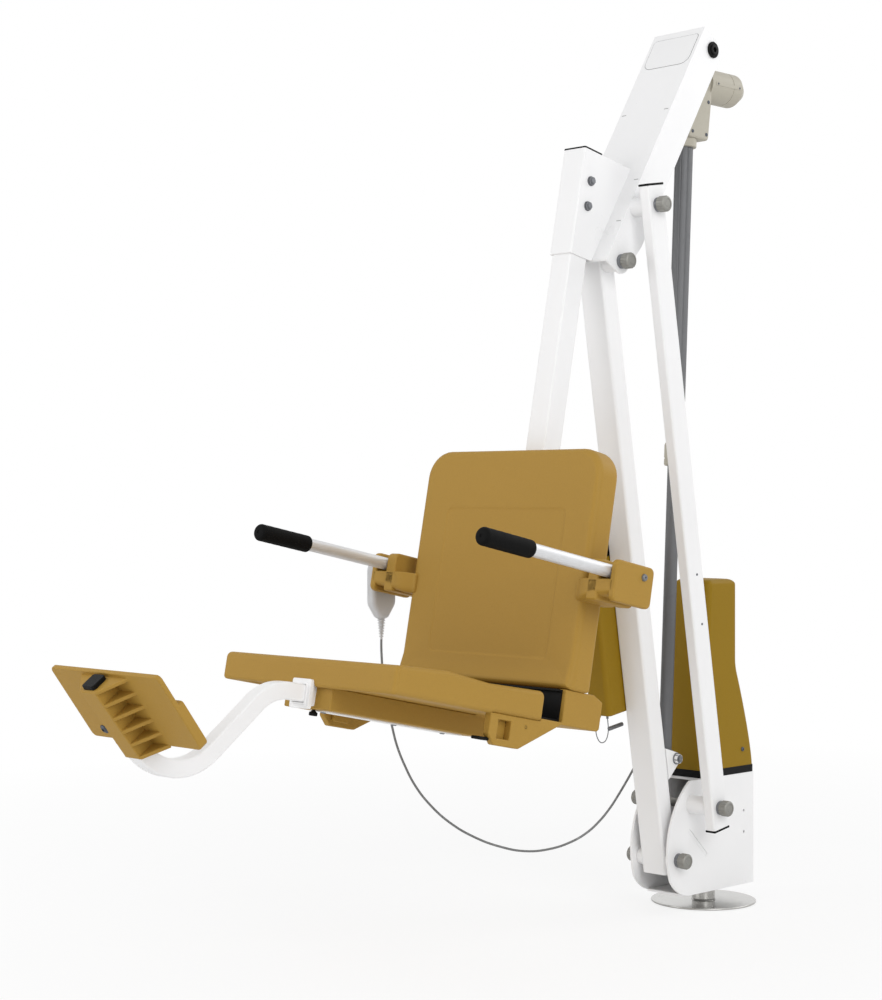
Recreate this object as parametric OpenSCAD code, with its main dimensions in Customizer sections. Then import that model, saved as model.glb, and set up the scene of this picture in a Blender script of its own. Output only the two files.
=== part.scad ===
// Pool lift with a turning base, a parallel-arm mast, a moulded seat and a sliding footrest.
// X points forward over the water, Y to the sitter's left, Z up.
// The origin is on the post's axis, level with the deck.

/* [Deck post] */
// Diameter of the cover disc on the deck
disc_d = 229; // [180:1:260]
// Thickness of the cover disc
disc_t = 4; // [3:0.5:8]
// Diameter of the post
post_d = 50.8; // [44:0.2:52]
// Length of post that stands in the deck socket
socket_depth = 150; // [100:5:200]
// Height of the post's top end above the deck
post_top = 262; // [250:1:262]

/* [Swivel drive] */
// Module of the gear teeth
gear_module = 2; // [1.5:0.1:2.1]
// Teeth on the fixed gear
gear_teeth = 36; // [35:1:38]
// Teeth on the motor pinion
pinion_teeth = 12; // [12:1:14]
// Width of the teeth
gear_face = 16; // [10:1:18]

/* [Turning base] */
// Width over the two side plates
base_w = 103.4; // [100:0.2:110]
// Thickness of the side plates
plate_t = 5; // [4:0.5:6]
// Height of the plates' lower edge
base_z = 33; // [28:1:36]
// Height of the top plate's upper face
base_top = 278; // [276:1:284]
// Distance of the base's back from the post axis
base_back = 113; // [108:1:120]

/* [Cover] */
// Width of the cover
cover_w = 100; // [96:1:103]
// Height of the cover above its band
cover_h = 414; // [380:1:440]
// Wall of the cover
cover_wall = 3; // [2:0.5:4]
// Height of the black band
band_h = 16; // [12:1:20]

/* [Mast and link] */
// Distance between the mast's two pivots
mast_l = 1272; // [1240:1:1300]
// Forward lean of the mast at rest, degrees
mast_lean = 9.4; // [8:0.1:11]
// Mast tube, side to side
mast_w = 63.5; // [60:0.5:66]
// Mast tube, front to back
mast_d = 44.4; // [40:0.2:46]
// Wall of the mast tube
mast_wall = 3.2; // [2.5:0.1:5]
// Link tube, side to side
link_w = 25.4; // [22:0.2:28]
// Link tube, front to back
link_d = 50.8; // [46:0.2:52]
// Diameter of the four pivot shafts
shaft_d = 19; // [16:0.5:20]
// Diameter of the shafts' end caps
cap_d = 32; // [28:1:36]

/* [Head] */
// Width over the folded channel
head_w = 138; // [134:1:142]
// Thickness of the channel's plate
head_t = 5; // [4:0.5:6]
// Backward lean of the channel, degrees
head_lean = 31.7; // [30:0.1:33]
// Length of the channel above the mast pivot
head_l = 594; // [590:1:604]

/* [Seat] */
// Width of the back and the pan
seat_w = 446; // [420:1:470]
// Backward tilt of the seat, degrees
seat_tilt = 11.5; // [10:0.1:13]
// Height of the back's top above the foot of the seat arm
back_h = 545; // [500:1:560]
// Thickness of the back
back_t = 61; // [50:1:64]
// Depth of the pan, rear to front
pan_l = 386; // [370:1:400]
// Thickness of the pan
pan_t = 56.5; // [50:0.5:58]
// Side of the square seat arm
arm_d = 50.8; // [48:0.2:52]

/* [Armrests] */
// Diameter of the armrest tube
rest_d = 25.4; // [22:0.2:27]
// Distance between the two armrests' axes
rest_span = 604; // [590:2:620]
// Length of an armrest from its pivot
rest_l = 408; // [360:1:430]
// Length of the foam grip
grip_l = 133; // [110:1:150]
// Diameter of the foam grip
grip_d = 34; // [30:1:38]

/* [Footrest] */
// Side of the square footrest tube
foot_tube = 31.75; // [28:0.25:32]
// Radius of the tube's two bends
foot_bend_r = 92; // [80:1:98]
// Slope of the footrest plate, degrees
foot_slope = 49.3; // [46:0.1:52]
// Width of the footrest plate
foot_w = 300; // [280:2:320]
// Length of the footrest plate down its slope
foot_l = 170; // [165:1:180]
// Ribs on each side of the plate's spine
foot_ribs = 4; // [3:1:5]
// Travel of the footrest in its receiver
foot_travel = 60; // [40:5:70]

/* [Actuator] */
// Diameter of the actuator's outer tube
tube_d = 39; // [37:0.5:42]
// Diameter of the push rod
rod_d = 28; // [26:0.5:29]
// Length of the actuator body below the top pin
tube_reach = 896; // [880:1:910]
// Diameter of the actuator motor
motor_d = 72; // [66:1:76]

/* [Handset] */
// Width of the handset
handset_w = 66; // [60:1:70]
// Height of the handset
handset_h = 123; // [115:1:130]
// Diameter of the handset cable
cable_d = 5; // [4:0.5:6]

/* [Hidden] */
$fn = 64;

// Shared clearances and overruns
over = 2;
run_gap = 0.05;
side_gap = 0.3;
slide_gap = 0.3;
hull_fn = 32;

// Post and swivel: the post is turned down a little above the deck, where the bushes run
journal_step = 0.4;
journal_d = post_d - 2 * journal_step;
bush_t = 3.1;
sleeve_wall = 3.3;
sleeve_d = journal_d + 2 * (bush_t + sleeve_wall);
bush_l = 40;
post_wall = 5;
gear_pitch_r = gear_module * gear_teeth / 2;
pinion_pitch_r = gear_module * pinion_teeth / 2;
gear_backlash = 0.5;
gear_play = 0.3;
pinion_x = -(gear_pitch_r + pinion_pitch_r + gear_play);
pad_t = base_top - plate_t - post_top;
gear_drop = 6;
gear_top = post_top - gear_drop;
pinion_shaft_d = 10;
sleeve_drop = 8;
sleeve_top = gear_top - gear_face - sleeve_drop;
pressure_angle = 20;
dedendum = 1.25;
tooth_steps = 4;
root_share = 0.62;

// Side plates
plate_in = base_w / 2 - plate_t;
plate_out = base_w / 2;
foot_x = 153;
foot_z = 113;
link_x = 107;
link_z = 228;
nose_big_r = 187;
nose_big_x = 1;
nose_big_z = 128;
nose_small_r = 78;
nose_small_x = 112;
top_front = 74;
floor_front = 136;
floor_t = 5;
tab_slot_w = 8;
tab_slot_l = 84;
tab_slot_x = 86;
tab_slot_z = 143;
tab_slot_angle = 44;
small_hole_d = 6;
small_hole_x = -78;
small_hole_low = 148;
small_hole_high = 195;
boss_d = 40;
link_y = 115;
cap_l = 20.3;
cap_step = 5;
cap_bevel = 4.5;
cap_face_d = cap_d - 2 * cap_bevel;
far_boss_end = 118.7;
shaft_inset = 5;

// Cover, its band and what stands inside
cover_z = base_top + band_h;
cover_back = 114;
cover_front = 66;
neck_z = 515;
neck_back = 50;
cover_top_front = 45;
cover_corner_r = 14;
cover_dome_r = 14;
cover_bulge = 1.3;
cover_steps = 8;
band_step = 1.5;
band_wall = 5;
gearmotor_d = 44;
gearmotor_h = 118;
gearmotor_flange = 4;
gearcase_h = 36;
control_l = 56;
control_w = 78;
control_h = 250;
control_x = 6;
screw_head_d = 10;
screw_head_h = 2.5;
cover_screw_x = -75;
cover_screw_z = 330;

// Mast
mast_top = 20;
mast_tail = 30;
mast_boss_end = plate_in - side_gap;
head_in = head_w / 2 - head_t;
head_out = head_w / 2;
mast_head_boss_end = head_in - side_gap;
head_x = foot_x + mast_l * sin(mast_lean);
head_z = foot_z + mast_l * cos(mast_lean);
eye_n = -53.534;
eye_h = 207.037;
eye_x = foot_x + eye_n * cos(mast_lean) + eye_h * sin(mast_lean);
eye_z = foot_z - eye_n * sin(mast_lean) + eye_h * cos(mast_lean);
lug_in = 27;
lug_r = 13;
lug_flank = 60;
lug_drop = 38;
lug_rise = 30;
lug_pin_d = 12;
case_w = 62;
case_front = 50;
case_back = 30;
case_low = 323;
case_l = 373;
case_r = 12;
case_lid = 34;
case_lip = 2;
case_mid = -63;
lanyard_d = 2.2;
lock_pin_d = 9;
lock_pin_l = 46;
pin_far_n = 0;
pin_h = 289;
lanyard_points = [
  [46, -63, 323], [46, -63, 305], [47, -63, 289], [51, -63, 277], [58, -63, 268],
  [66, -63, 265], [74, -63, 266], [81, -63, 272], [86, -63, 283], [87, -63, 296],
  [84, -63, 308], [77, -63, 316], [69, -63, 320], [66, -63, 323]
];

// Link
link_tail = 45;
link_head = 40;
link_wall = 3;
plug_t = 3;
plug_depth = 14;
link_top_x = link_x + mast_l * sin(mast_lean);
link_top_z = link_z + mast_l * cos(mast_lean);
link_in = link_y - link_w / 2;
link_out = link_y + link_w / 2;

// Head channel, in its own frame: n forward, h along the channel from the mast pivot
channel_front = 40.5;
channel_back = 36.5;
channel_tail = 25;
channel_taper = 64;
channel_corner_r = 25;
channel_nose_r = 8;
panel_h = 86;
panel_w = 84;
panel_top = 18;
panel_r = 30;
panel_gap = 0.6;
panel_tongue = 4;
top_pin_d = 16;
top_pin_drop = 26;
top_pin_h = head_l - top_pin_drop;
top_pin_n = -6;
top_cap_d = 35;
top_cap_t = 7;
tab_hole_l = 12;
tab_hole_w = 3;
tab_hole_h_shares = [0.88, 0.76];
plug_hole_d = 14;
plug_hole_h = 40;
plug_hole_y = 46;
pin_x = head_x + top_pin_n * cos(head_lean) - top_pin_h * sin(head_lean);
pin_z = head_z + top_pin_n * sin(head_lean) + top_pin_h * cos(head_lean);
link_top_n = (link_top_x - head_x) * cos(head_lean) + (link_top_z - head_z) * sin(head_lean);
link_top_h = -(link_top_x - head_x) * sin(head_lean) + (link_top_z - head_z) * cos(head_lean);

// Seat, in its own frame: u forward, v up, both tilted back, with the mast pivot's place in it
pivot_u = 626.23;
pivot_v = 1268.53;
arm_u = 682.5;
arm_foot = 300;
arm_wall = 3;
arm_front = arm_u + arm_d;
arm_top = 1481;
arm_cap_t = 3;
socket_low = 1259;
socket_top = 1484;
socket_t = 3.6;
socket_play = 0.4;
socket_in = arm_d / 2 + socket_play;
socket_out = socket_in + socket_t;
socket_bolt_set = 17.5;
socket_bolt_u = arm_u + socket_bolt_set;
socket_bolt_v_shares = [0.31, 0.58];
bolt_d = 12;
bolt_head_d = 20;
bolt_head_h = 9;
seat_half = seat_w / 2;
back_low = 372;
back_top = arm_foot + back_h;
back_corner_r = 55;
back_edge_r = 14;
back_low_r = 2 * back_edge_r + over;
back_panel_w = 320;
back_panel_low = 400;
back_panel_top = 720;
back_panel_deep = 2.5;
slot_step = 5.7;
slot_w = 59.6;
slot_rear_u = arm_front + back_t + slot_step;
pan_u = slot_rear_u + slot_w;
pan_v = 305;
pan_top = pan_v + pan_t;
pan_front = pan_u + pan_l;
pan_edge_r = 12;
pan_droop = 12;
pan_lip = 9;
pan_crest_share = 0.675;
pan_dip_share = 0.38;
pan_dip = 7;
pan_lip_w = 24;
pan_lip_t = 13.6;
foot_rear_set = 9.5;
foot_rear_u = arm_u + foot_rear_set;
foot_rear_v = 361;
foot_corner = 5;
foot_shoulder = 36;
slot_v = 310;
slot_top = 371;
liner_t = 4;
liner_lip = 14;
cheek_t = 64;
ear_low = 247;
ear_set = 1;
ear_run = 109;
ear_l = 193;
ear_rear = slot_rear_u + ear_set;
ear_toe = ear_rear + ear_run;
ear_front = ear_rear + ear_l;
ear_chamfer = 18;
ear_hole = 34;
ear_hole_set = 39;
ear_hole_u = ear_front - ear_hole_set;
ear_hole_v = 277;
box_half = 57;
box_low = 264;
box_set = 12;
box_u = slot_rear_u + box_set;
box_front = pan_front - pan_lip_t;
ear_screw_set = 97;
ear_screw_u = ear_rear + ear_screw_set;
ear_screw_v = 289;
ear_screw_d = 12;

// Armrest forks
rest_y = rest_span / 2;
rest_set = 5.7;
rest_u = arm_front + rest_set;
fork_back = 30;
fork_ahead = 81;
rest_v = 598;
fork_rear = rest_u - fork_back;
fork_front = rest_u + fork_ahead;
fork_low = 541;
fork_high = 620;
fork_floor = rest_v - rest_d / 2 - side_gap;
fork_gap = 28;
fork_in_t = 26;
fork_out_t = 19;
fork_r = 12;
rest_pin_d = 8;
rest_pin_head = 14;
rest_pin_head_h = 5;
rest_wall = 2;
grip_end = 4;

// Footrest receiver, tube and plate
recv_w = 54;
recv_h = 50;
recv_l = 38;
recv_inside = 12;
recv_back = box_front - recv_inside;
recv_v = box_low + recv_h / 2;
tube_v = recv_v;
recv_front = recv_back + recv_l;
tube_tail = 120;
tube_wall = 2.5;
bend_step = 5;
knob_u = recv_back + 22;
knob_d = 16;
knob_l = 10;
plunger_d = 6;
tube_slot_w = 8;
foot_reach = 432.42;
foot_drop = 25.15;
foot_edge = seat_point(recv_front + foot_reach, tube_v - foot_drop);
foot_t = 9;
foot_step = 10;
foot_step_at = 62;
foot_corner_r = 10;
spine_wall = 4.5;
spine_crest = foot_tube + 2 * spine_wall;
spine_h = spine_wall * 2 + foot_tube;
spine_foot = 128;
tube_n = spine_wall + foot_tube / 2;
rib_t = 7;
foot_plug_t = 3;
foot_bolt_d = 14;
foot_bolt_y = 110;
foot_bolt_down = 140;
down_angle = -37.2;
knee_reach = 49.87;
knee_point = seat_point(recv_front + knee_reach, tube_v);

// Actuator, in its own frame: down the rod from the top pin
act_tilt = atan2(eye_x - pin_x, pin_z - eye_z);
act_l = norm([eye_x - pin_x, pin_z - eye_z]);
case_half = 30;
box_top = 16;
box_low_end = 175;
box_deep = 198;
box_rear = 80;
box_nose = 22;
box_neck = 4;
motor_drop = 62;
motor_l = 112;
motor_taper = 26;
motor_tip_d = 44;
motor_knob_d = 16;
motor_knob_l = 7;
collar_l = 49;
collar_d = tube_d + 5;
tube_bore = rod_d + 2 * slide_gap;
rod_bore = 19;
rod_grip = 80;
rod_l = act_l - tube_reach + rod_grip;
screw_d = 16;
eye_r = 18;
eye_half = 15;

// Handset, hung on the far armrest fork
handset_set = 24.15;
handset_u = rest_u + handset_set;
handset_v = 550.91;
handset_x = seat_point(handset_u, handset_v).x;
handset_z = seat_point(handset_u, handset_v).y;
handset_t = 26;
handset_y = -(rest_y + fork_gap / 2 + fork_out_t);
handset_gap = 5.5;
button_d = 13;
button_gap = 0.3;
button_out = 2;
button_pocket = 6;
button_stroke = 1.2;
button_pitch_x = 26;
button_pitch_z = 30;
relief_d = 12;
relief_l = 44;
relief_ribs = 5;
relief_rise = 0.75;
relief_taper = 0.08;
hook_t = 5;

// Handset cable: from the handset's relief, down under the seat, to the gland on the base
gland_x = 38;
gland_z = 381;
gland_l = 12;
cable_route = [
  [638, -353.5, 586.5], [638, -353.5, 570], [638, -352, 545], [638, -349, 515],
  [637, -344, 480], [635, -337, 445], [631, -329, 408], [624, -321, 366],
  [611, -311, 324], [589, -301, 279], [557, -289, 237], [510, -275, 195],
  [452, -259, 160], [394, -243, 136], [334, -225, 121], [280, -205, 121],
  [232, -184, 133], [200, -165, 152], [177, -148, 177], [158, -134, 205],
  [142, -122, 235], [127, -112, 264], [112, -104, 292], [98, -100, 315], [84, -97.5, 335],
  [70, -96, 351], [58, -93.5, 364], [48.5, -89, 373.5], [42, -81, 379], [38.8, -71.5, 381],
  [38, -62.3, 381]
];
cable_sides = 8;
relief_end = [handset_x, handset_y - handset_gap - handset_t / 2, handset_z - handset_h / 2 - relief_l];
gland_end = [gland_x, -cover_w / 2 - gland_l - side_gap, gland_z];
cable_last = len(cable_route) - 1;
cable_points = [for (i = [0:cable_last])
  cable_route[i] + (1 - i / cable_last) * (relief_end - cable_route[0])
  + i / cable_last * (gland_end - cable_route[cable_last])];

// Colours
steel_white = "white";
seat_tan = "#a9884a";
cover_gold = "#96782a";
dark = "#222222";
zinc = "#8f9094";
beige = "#b5ae9f";

// Frames of the leaning parts
module mast_frame() translate([foot_x, 0, foot_z]) rotate([0, mast_lean, 0]) children();
module link_frame() translate([link_x, link_y, link_z]) rotate([0, mast_lean, 0]) children();
module head_frame() translate([head_x, 0, head_z]) rotate([0, -head_lean, 0]) children();
module seat_frame() translate([head_x, 0, head_z]) rotate([0, -seat_tilt, 0])
  translate([-pivot_u, 0, -pivot_v]) children();
function seat_point(u, v) = [head_x + (u - pivot_u) * cos(seat_tilt) - (v - pivot_v) * sin(seat_tilt),
                             head_z + (u - pivot_u) * sin(seat_tilt) + (v - pivot_v) * cos(seat_tilt)];
module actuator_frame() translate([pin_x, 0, pin_z]) rotate([0, -act_tilt, 0]) children();
module plate_frame() translate([foot_edge.x, 0, foot_edge.y]) rotate([0, 90 - foot_slope, 0]) children();

// A side outline, drawn in X and Z, given a width from y0 to y1
module slab(y0, y1) translate([0, y1, 0]) rotate([90, 0, 0]) linear_extrude(y1 - y0) children();

// A cylinder along Y from y0 to y1
module bar(d, y0, y1) translate([0, y1, 0]) rotate([90, 0, 0]) cylinder(d = d, h = y1 - y0);

// The same shape on both sides
module both() {
  children();
  mirror([0, 1, 0]) children();
}

// A rectangle with round corners, from its low corner
module round_rect(w, h, r) {
  translate([r, 0]) square([w - 2 * r, h]);
  translate([0, r]) square([w, h - 2 * r]);
  for (x = [r, w - r], y = [r, h - r]) translate([x, y]) circle(r);
}

// A rectangular tube along Z
module box_tube(depth, width, length, wall) {
  difference() {
    translate([-depth / 2, -width / 2, 0]) cube([depth, width, length]);
    translate([-depth / 2 + wall, -width / 2 + wall, -over])
      cube([depth - 2 * wall, width - 2 * wall, length + 2 * over]);
  }
}

// Involute gear outline
function involute_x(r, a) = r * (cos(a) + a * PI / 180 * sin(a));
function involute_y(r, a) = r * (sin(a) - a * PI / 180 * cos(a));
function involute_angle(a) = tan(a) * 180 / PI - a;
function tooth_side(pitch, outer, root, half, flip) =
  let (base = pitch * cos(pressure_angle), steps = tooth_steps, end = sqrt(pow(outer / base, 2) - 1) * 180 / PI)
  [for (i = [0:steps])
    let (k = flip ? steps - i : i,
         start = root > base ? sqrt(pow(root / base, 2) - 1) * 180 / PI : 0,
         a = start + (end - start) * k / steps,
         x = involute_x(base, a), y = involute_y(base, a),
         turn = half + involute_angle(pressure_angle), s = flip ? 1 : -1,
         px = x * cos(turn) + y * sin(turn), py = y * cos(turn) - x * sin(turn))
    [px, -s * py]];
function gear_points(m, teeth, backlash) =
  let (pitch = m * teeth / 2, outer = pitch + m, root = pitch - dedendum * m,
       half = 90 / teeth - backlash / pitch * 90 / PI)
  [for (t = [0:teeth - 1])
    let (a = 360 * t / teeth,
         low = tooth_side(pitch, outer, root, half, false),
         high = tooth_side(pitch, outer, root, half, true),
         gap = 180 / teeth,
         all = concat([[root * cos(gap * root_share), -root * sin(gap * root_share)]], low, high,
                      [[root * cos(gap * root_share), root * sin(gap * root_share)]]))
    for (p = all) [p.x * cos(a) - p.y * sin(a), p.x * sin(a) + p.y * cos(a)]];

// Domed end cap of a pivot shaft, standing out along +Y from its seat
module end_cap(seat) {
  translate([0, seat, 0]) rotate([-90, 0, 0]) difference() {
    union() {
      cylinder(d = cap_d, h = cap_l - cap_step);
      translate([0, 0, cap_l - cap_step]) cylinder(d1 = cap_d, d2 = cap_face_d, h = cap_step);
    }
    translate([0, 0, -over]) cylinder(d = shaft_d + 2 * run_gap, h = cap_l - shaft_inset + over);
  }
}

// Deck post
module deck_disc() color(zinc) difference() {
  cylinder(d = disc_d, h = disc_t);
  translate([0, 0, -over]) cylinder(d = post_d + 2 * run_gap, h = disc_t + 2 * over);
}

module anchor_post() color(zinc) difference() {
  union() {
    translate([0, 0, -socket_depth]) cylinder(d = post_d, h = socket_depth);
    cylinder(d = journal_d, h = post_top);
  }
  translate([0, 0, -socket_depth - over])
    cylinder(d = post_d - 2 * post_wall, h = socket_depth + post_top - post_wall + over);
}

module swivel_gear() color(zinc) translate([0, 0, gear_top - gear_face]) difference() {
  linear_extrude(gear_face) polygon(gear_points(gear_module, gear_teeth, gear_backlash));
  translate([0, 0, -over]) cylinder(d = journal_d + 2 * run_gap, h = gear_face + 2 * over);
}

module thrust_pad() color("#b08d57") translate([0, 0, post_top])
  cylinder(d = journal_d, h = pad_t - side_gap);

// Turning base
module side_outline() intersection() {
  translate([-base_back, base_z]) square([base_back + nose_big_x + nose_big_r, base_top - base_z]);
  union() {
    translate([nose_big_x, nose_big_z]) circle(nose_big_r, $fn = 128);
    translate([-base_back, base_z]) square([base_back + nose_big_x, base_top - base_z]);
  }
  union() {
    translate([nose_small_x, base_z + nose_small_r]) circle(nose_small_r);
    translate([-base_back, base_z]) square([base_back + nose_small_x, base_top - base_z]);
    translate([nose_small_x, base_z + nose_small_r])
      square([nose_big_r, base_top - base_z - nose_small_r]);
  }
}

module side_plate() difference() {
  union() {
    slab(plate_in, plate_out) side_outline();
    translate([link_x, 0, link_z]) bar(boss_d, plate_out, link_in - side_gap);
  }
  for (p = [[foot_x, foot_z], [link_x, link_z]])
    translate([p.x, 0, p.y]) bar(shaft_d + 2 * run_gap, plate_in - over, link_in + over);
  for (z = [small_hole_low, small_hole_high])
    translate([small_hole_x, 0, z]) bar(small_hole_d, plate_in - over, plate_out + over);
  translate([tab_slot_x, 0, tab_slot_z]) rotate([0, -tab_slot_angle, 0])
    translate([-tab_slot_l / 2, plate_in - over, -tab_slot_w / 2])
    cube([tab_slot_l, plate_t + 2 * over, tab_slot_w]);
}

module base_side_near() color(steel_white) side_plate();

module base_side_far() color(steel_white) mirror([0, 1, 0]) difference() {
  union() {
    side_plate();
    translate([link_x, 0, link_z]) bar(boss_d, link_in - side_gap - over, far_boss_end);
  }
  translate([link_x, 0, link_z]) bar(shaft_d + 2 * run_gap, plate_in - over, far_boss_end + over);
}

// Top plate and back in one bent sheet
module base_spine() color(steel_white) difference() {
  slab(-plate_in, plate_in) difference() {
    translate([-base_back, base_z + floor_t])
      square([base_back + top_front, base_top - base_z - floor_t]);
    translate([-base_back + plate_t, base_z])
      square([base_back + top_front, base_top - plate_t - base_z]);
  }
  translate([pinion_x, 0, base_top - plate_t - over])
    cylinder(d = pinion_shaft_d + 2 * over, h = plate_t + 2 * over);
}

// Bottom strip with the sleeve welded into it
module base_floor() color(steel_white) difference() {
  union() {
    translate([-base_back, -plate_in, base_z])
      cube([base_back + floor_front, 2 * plate_in, floor_t]);
    translate([0, 0, base_z]) cylinder(d = sleeve_d, h = sleeve_top - base_z);
  }
  translate([0, 0, base_z - over])
    cylinder(d = sleeve_d - 2 * sleeve_wall, h = sleeve_top - base_z + 2 * over);
}

module swivel_bushes() color(dark) for (z = [base_z, sleeve_top - bush_l])
  translate([0, 0, z]) difference() {
    cylinder(d = sleeve_d - 2 * sleeve_wall, h = bush_l);
    translate([0, 0, -over]) cylinder(d = journal_d + 2 * run_gap, h = bush_l + 2 * over);
  }

module swivel_gearmotor() color(beige) translate([pinion_x, 0, base_top]) difference() {
  union() {
    translate([-gearmotor_d / 2, -gearmotor_d / 2, 0])
      cube([gearmotor_d, gearmotor_d, gearmotor_flange]);
    cylinder(d = gearmotor_d, h = gearcase_h);
    cylinder(d = gearmotor_d - 2 * gearmotor_flange, h = gearmotor_h);
  }
  translate([0, 0, -over]) cylinder(d = pinion_shaft_d + 2 * run_gap, h = gearcase_h / 2 + over);
}

module swivel_pinion() color(zinc) translate([pinion_x, 0, 0]) union() {
  translate([0, 0, gear_top - gear_face]) linear_extrude(gear_face)
    rotate(gear_teeth % 2 == 0 ? 180 / pinion_teeth : 0)
    polygon(gear_points(gear_module, pinion_teeth, gear_backlash));
  translate([0, 0, gear_top - gear_face])
    cylinder(d = pinion_shaft_d, h = base_top - gear_top + gear_face + gearcase_h / 2 - over);
}

module control_box() color(dark)
  translate([control_x - control_l / 2 + cover_wall, -control_w / 2, base_top])
  cube([control_l, control_w, control_h]);

// Cover: a side outline with a bulging lower back, cut to a rounded plan and a rounded top
back_curve = [for (i = [0:cover_steps])
  [-cover_back + (cover_back - neck_back) * pow(i / cover_steps, cover_bulge), (neck_z - cover_z) * i / cover_steps]];
module cover_side(inset) polygon(concat(
  [[cover_front - inset, 0], [cover_top_front - inset, cover_h - inset], [-neck_back + inset, cover_h - inset]],
  [for (i = [cover_steps:-1:0]) back_curve[i] + [inset, 0]]));
module cover_body(inset, top) intersection() {
  slab(-cover_w / 2, cover_w / 2) cover_side(inset);
  translate([-cover_back + inset, -cover_w / 2 + inset, 0]) linear_extrude(top)
    round_rect(cover_back + cover_front - 2 * inset, cover_w - 2 * inset, cover_corner_r - inset);
}
module cover() color(cover_gold) translate([0, 0, cover_z]) difference() {
  intersection() {
    cover_body(0, cover_h);
    rotate([90, 0, 90]) translate([0, 0, -cover_back]) linear_extrude(cover_back + cover_front)
      translate([-cover_w / 2, -cover_h]) round_rect(cover_w, 2 * cover_h, cover_dome_r);
    slab(-cover_w / 2, cover_w / 2) union() {
      translate([-neck_back, -cover_h]) round_rect(neck_back + cover_top_front, 2 * cover_h, cover_dome_r);
      translate([-cover_back, -over]) square([cover_back + cover_front, cover_h - cover_dome_r + over]);
    }
  }
  translate([0, 0, -over]) cover_body(cover_wall, cover_h - cover_dome_r);
}

module cover_band() color(dark) translate([0, 0, base_top]) difference() {
  translate([-cover_back - band_step, -cover_w / 2 - band_step, 0]) linear_extrude(band_h)
    round_rect(cover_back + cover_front + 2 * band_step, cover_w + 2 * band_step, cover_corner_r);
  translate([-cover_back + band_wall, -cover_w / 2 + band_wall, -over])
    linear_extrude(band_h + 2 * over)
    round_rect(cover_back + cover_front - 2 * band_wall, cover_w - 2 * band_wall,
               cover_corner_r - band_wall);
}

module base_screws() color(zinc) both()
  translate([cover_screw_x, 0, cover_screw_z]) bar(screw_head_d, cover_w / 2, cover_w / 2 + screw_head_h);

module foot_shaft() color(zinc) translate([foot_x, 0, foot_z]) {
  bar(shaft_d, -plate_out - cap_l + shaft_inset + side_gap, plate_out + cap_l - shaft_inset - side_gap);
  both() end_cap(plate_out);
}

module link_shaft_low() color(zinc) translate([link_x, 0, link_z]) {
  bar(shaft_d, -far_boss_end - cap_l + shaft_inset + side_gap,
      link_out + side_gap + cap_l - cap_step - shaft_inset);
  end_cap(link_out + side_gap);
  mirror([0, 1, 0]) end_cap(far_boss_end);
}

module cable_gland() color(dark) translate([gland_x, 0, gland_z]) mirror([0, 1, 0]) {
  bar(3 * cable_d, cover_w / 2, cover_w / 2 + gland_l / 2);
  bar(2 * cable_d, cover_w / 2, cover_w / 2 + gland_l);
}

// Mast
module mast() color(steel_white) mast_frame() difference() {
  translate([0, 0, -mast_tail]) box_tube(mast_d, mast_w, mast_l + mast_tail + mast_top, mast_wall);
  for (z = [0, mast_l]) translate([0, 0, z]) bar(shaft_d + 2 * run_gap, -mast_w, mast_w);
}

module mast_spacers() color(steel_white) mast_frame() both() {
  difference() {
    bar(boss_d, mast_w / 2, mast_boss_end);
    bar(shaft_d + 2 * run_gap, 0, mast_boss_end + over);
  }
  translate([0, 0, mast_l]) difference() {
    bar(boss_d, mast_w / 2, mast_head_boss_end);
    bar(shaft_d + 2 * run_gap, 0, mast_head_boss_end + over);
  }
}

// Two lugs, each with its own stub pin, so that the rod eye between them stays free
module actuator_lugs() color(steel_white) mast_frame() both() {
  difference() {
    slab(lug_in, mast_w / 2) union() {
      translate([eye_n, eye_h]) circle(lug_r);
      polygon([[-mast_d / 2, eye_h - lug_drop], [-mast_d / 2, eye_h + lug_rise],
               [eye_n - lug_r * cos(lug_flank), eye_h + lug_r * sin(lug_flank)],
               [eye_n - lug_r * cos(lug_flank), eye_h - lug_r * sin(lug_flank)]]);
    }
    translate([eye_n, 0, eye_h]) bar(lug_pin_d, lug_in - over, mast_w / 2 + over);
  }
  translate([eye_n, 0, eye_h]) {
    bar(lug_pin_d, eye_half + side_gap, mast_w / 2);
    bar(bolt_head_d, mast_w / 2, mast_w / 2 + bolt_head_h);
  }
}

module battery_case() color(cover_gold) mast_frame()
  translate([-case_back, -mast_w / 2 - case_w, case_low]) {
    linear_extrude(case_l - case_lid - case_lip) round_rect(case_back + mast_d / 2 + case_front, case_w, case_r);
    translate([case_lip, case_lip, case_l - case_lid - case_lip])
      linear_extrude(case_lid) round_rect(case_back + mast_d / 2 + case_front - 2 * case_lip,
                                          case_w - 2 * case_lip, case_r - case_lip);
  }

// Link
module rear_link() color(steel_white) link_frame() difference() {
  translate([0, 0, -link_tail]) box_tube(link_d, link_w, link_tail + mast_l + link_head, link_wall);
  for (z = [0, mast_l]) translate([0, 0, z]) bar(shaft_d + 2 * run_gap, -link_w, link_w);
}

module link_plug() {
  translate([-link_d / 2, -link_w / 2, 0]) cube([link_d, link_w, plug_t]);
  translate([-link_d / 2 + link_wall, -link_w / 2 + link_wall, -plug_depth])
    cube([link_d - 2 * link_wall, link_w - 2 * link_wall, plug_depth]);
}
module link_plugs() color(dark) link_frame() {
  translate([0, 0, mast_l + link_head]) link_plug();
  translate([0, 0, -link_tail]) mirror([0, 0, 1]) link_plug();
}

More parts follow.
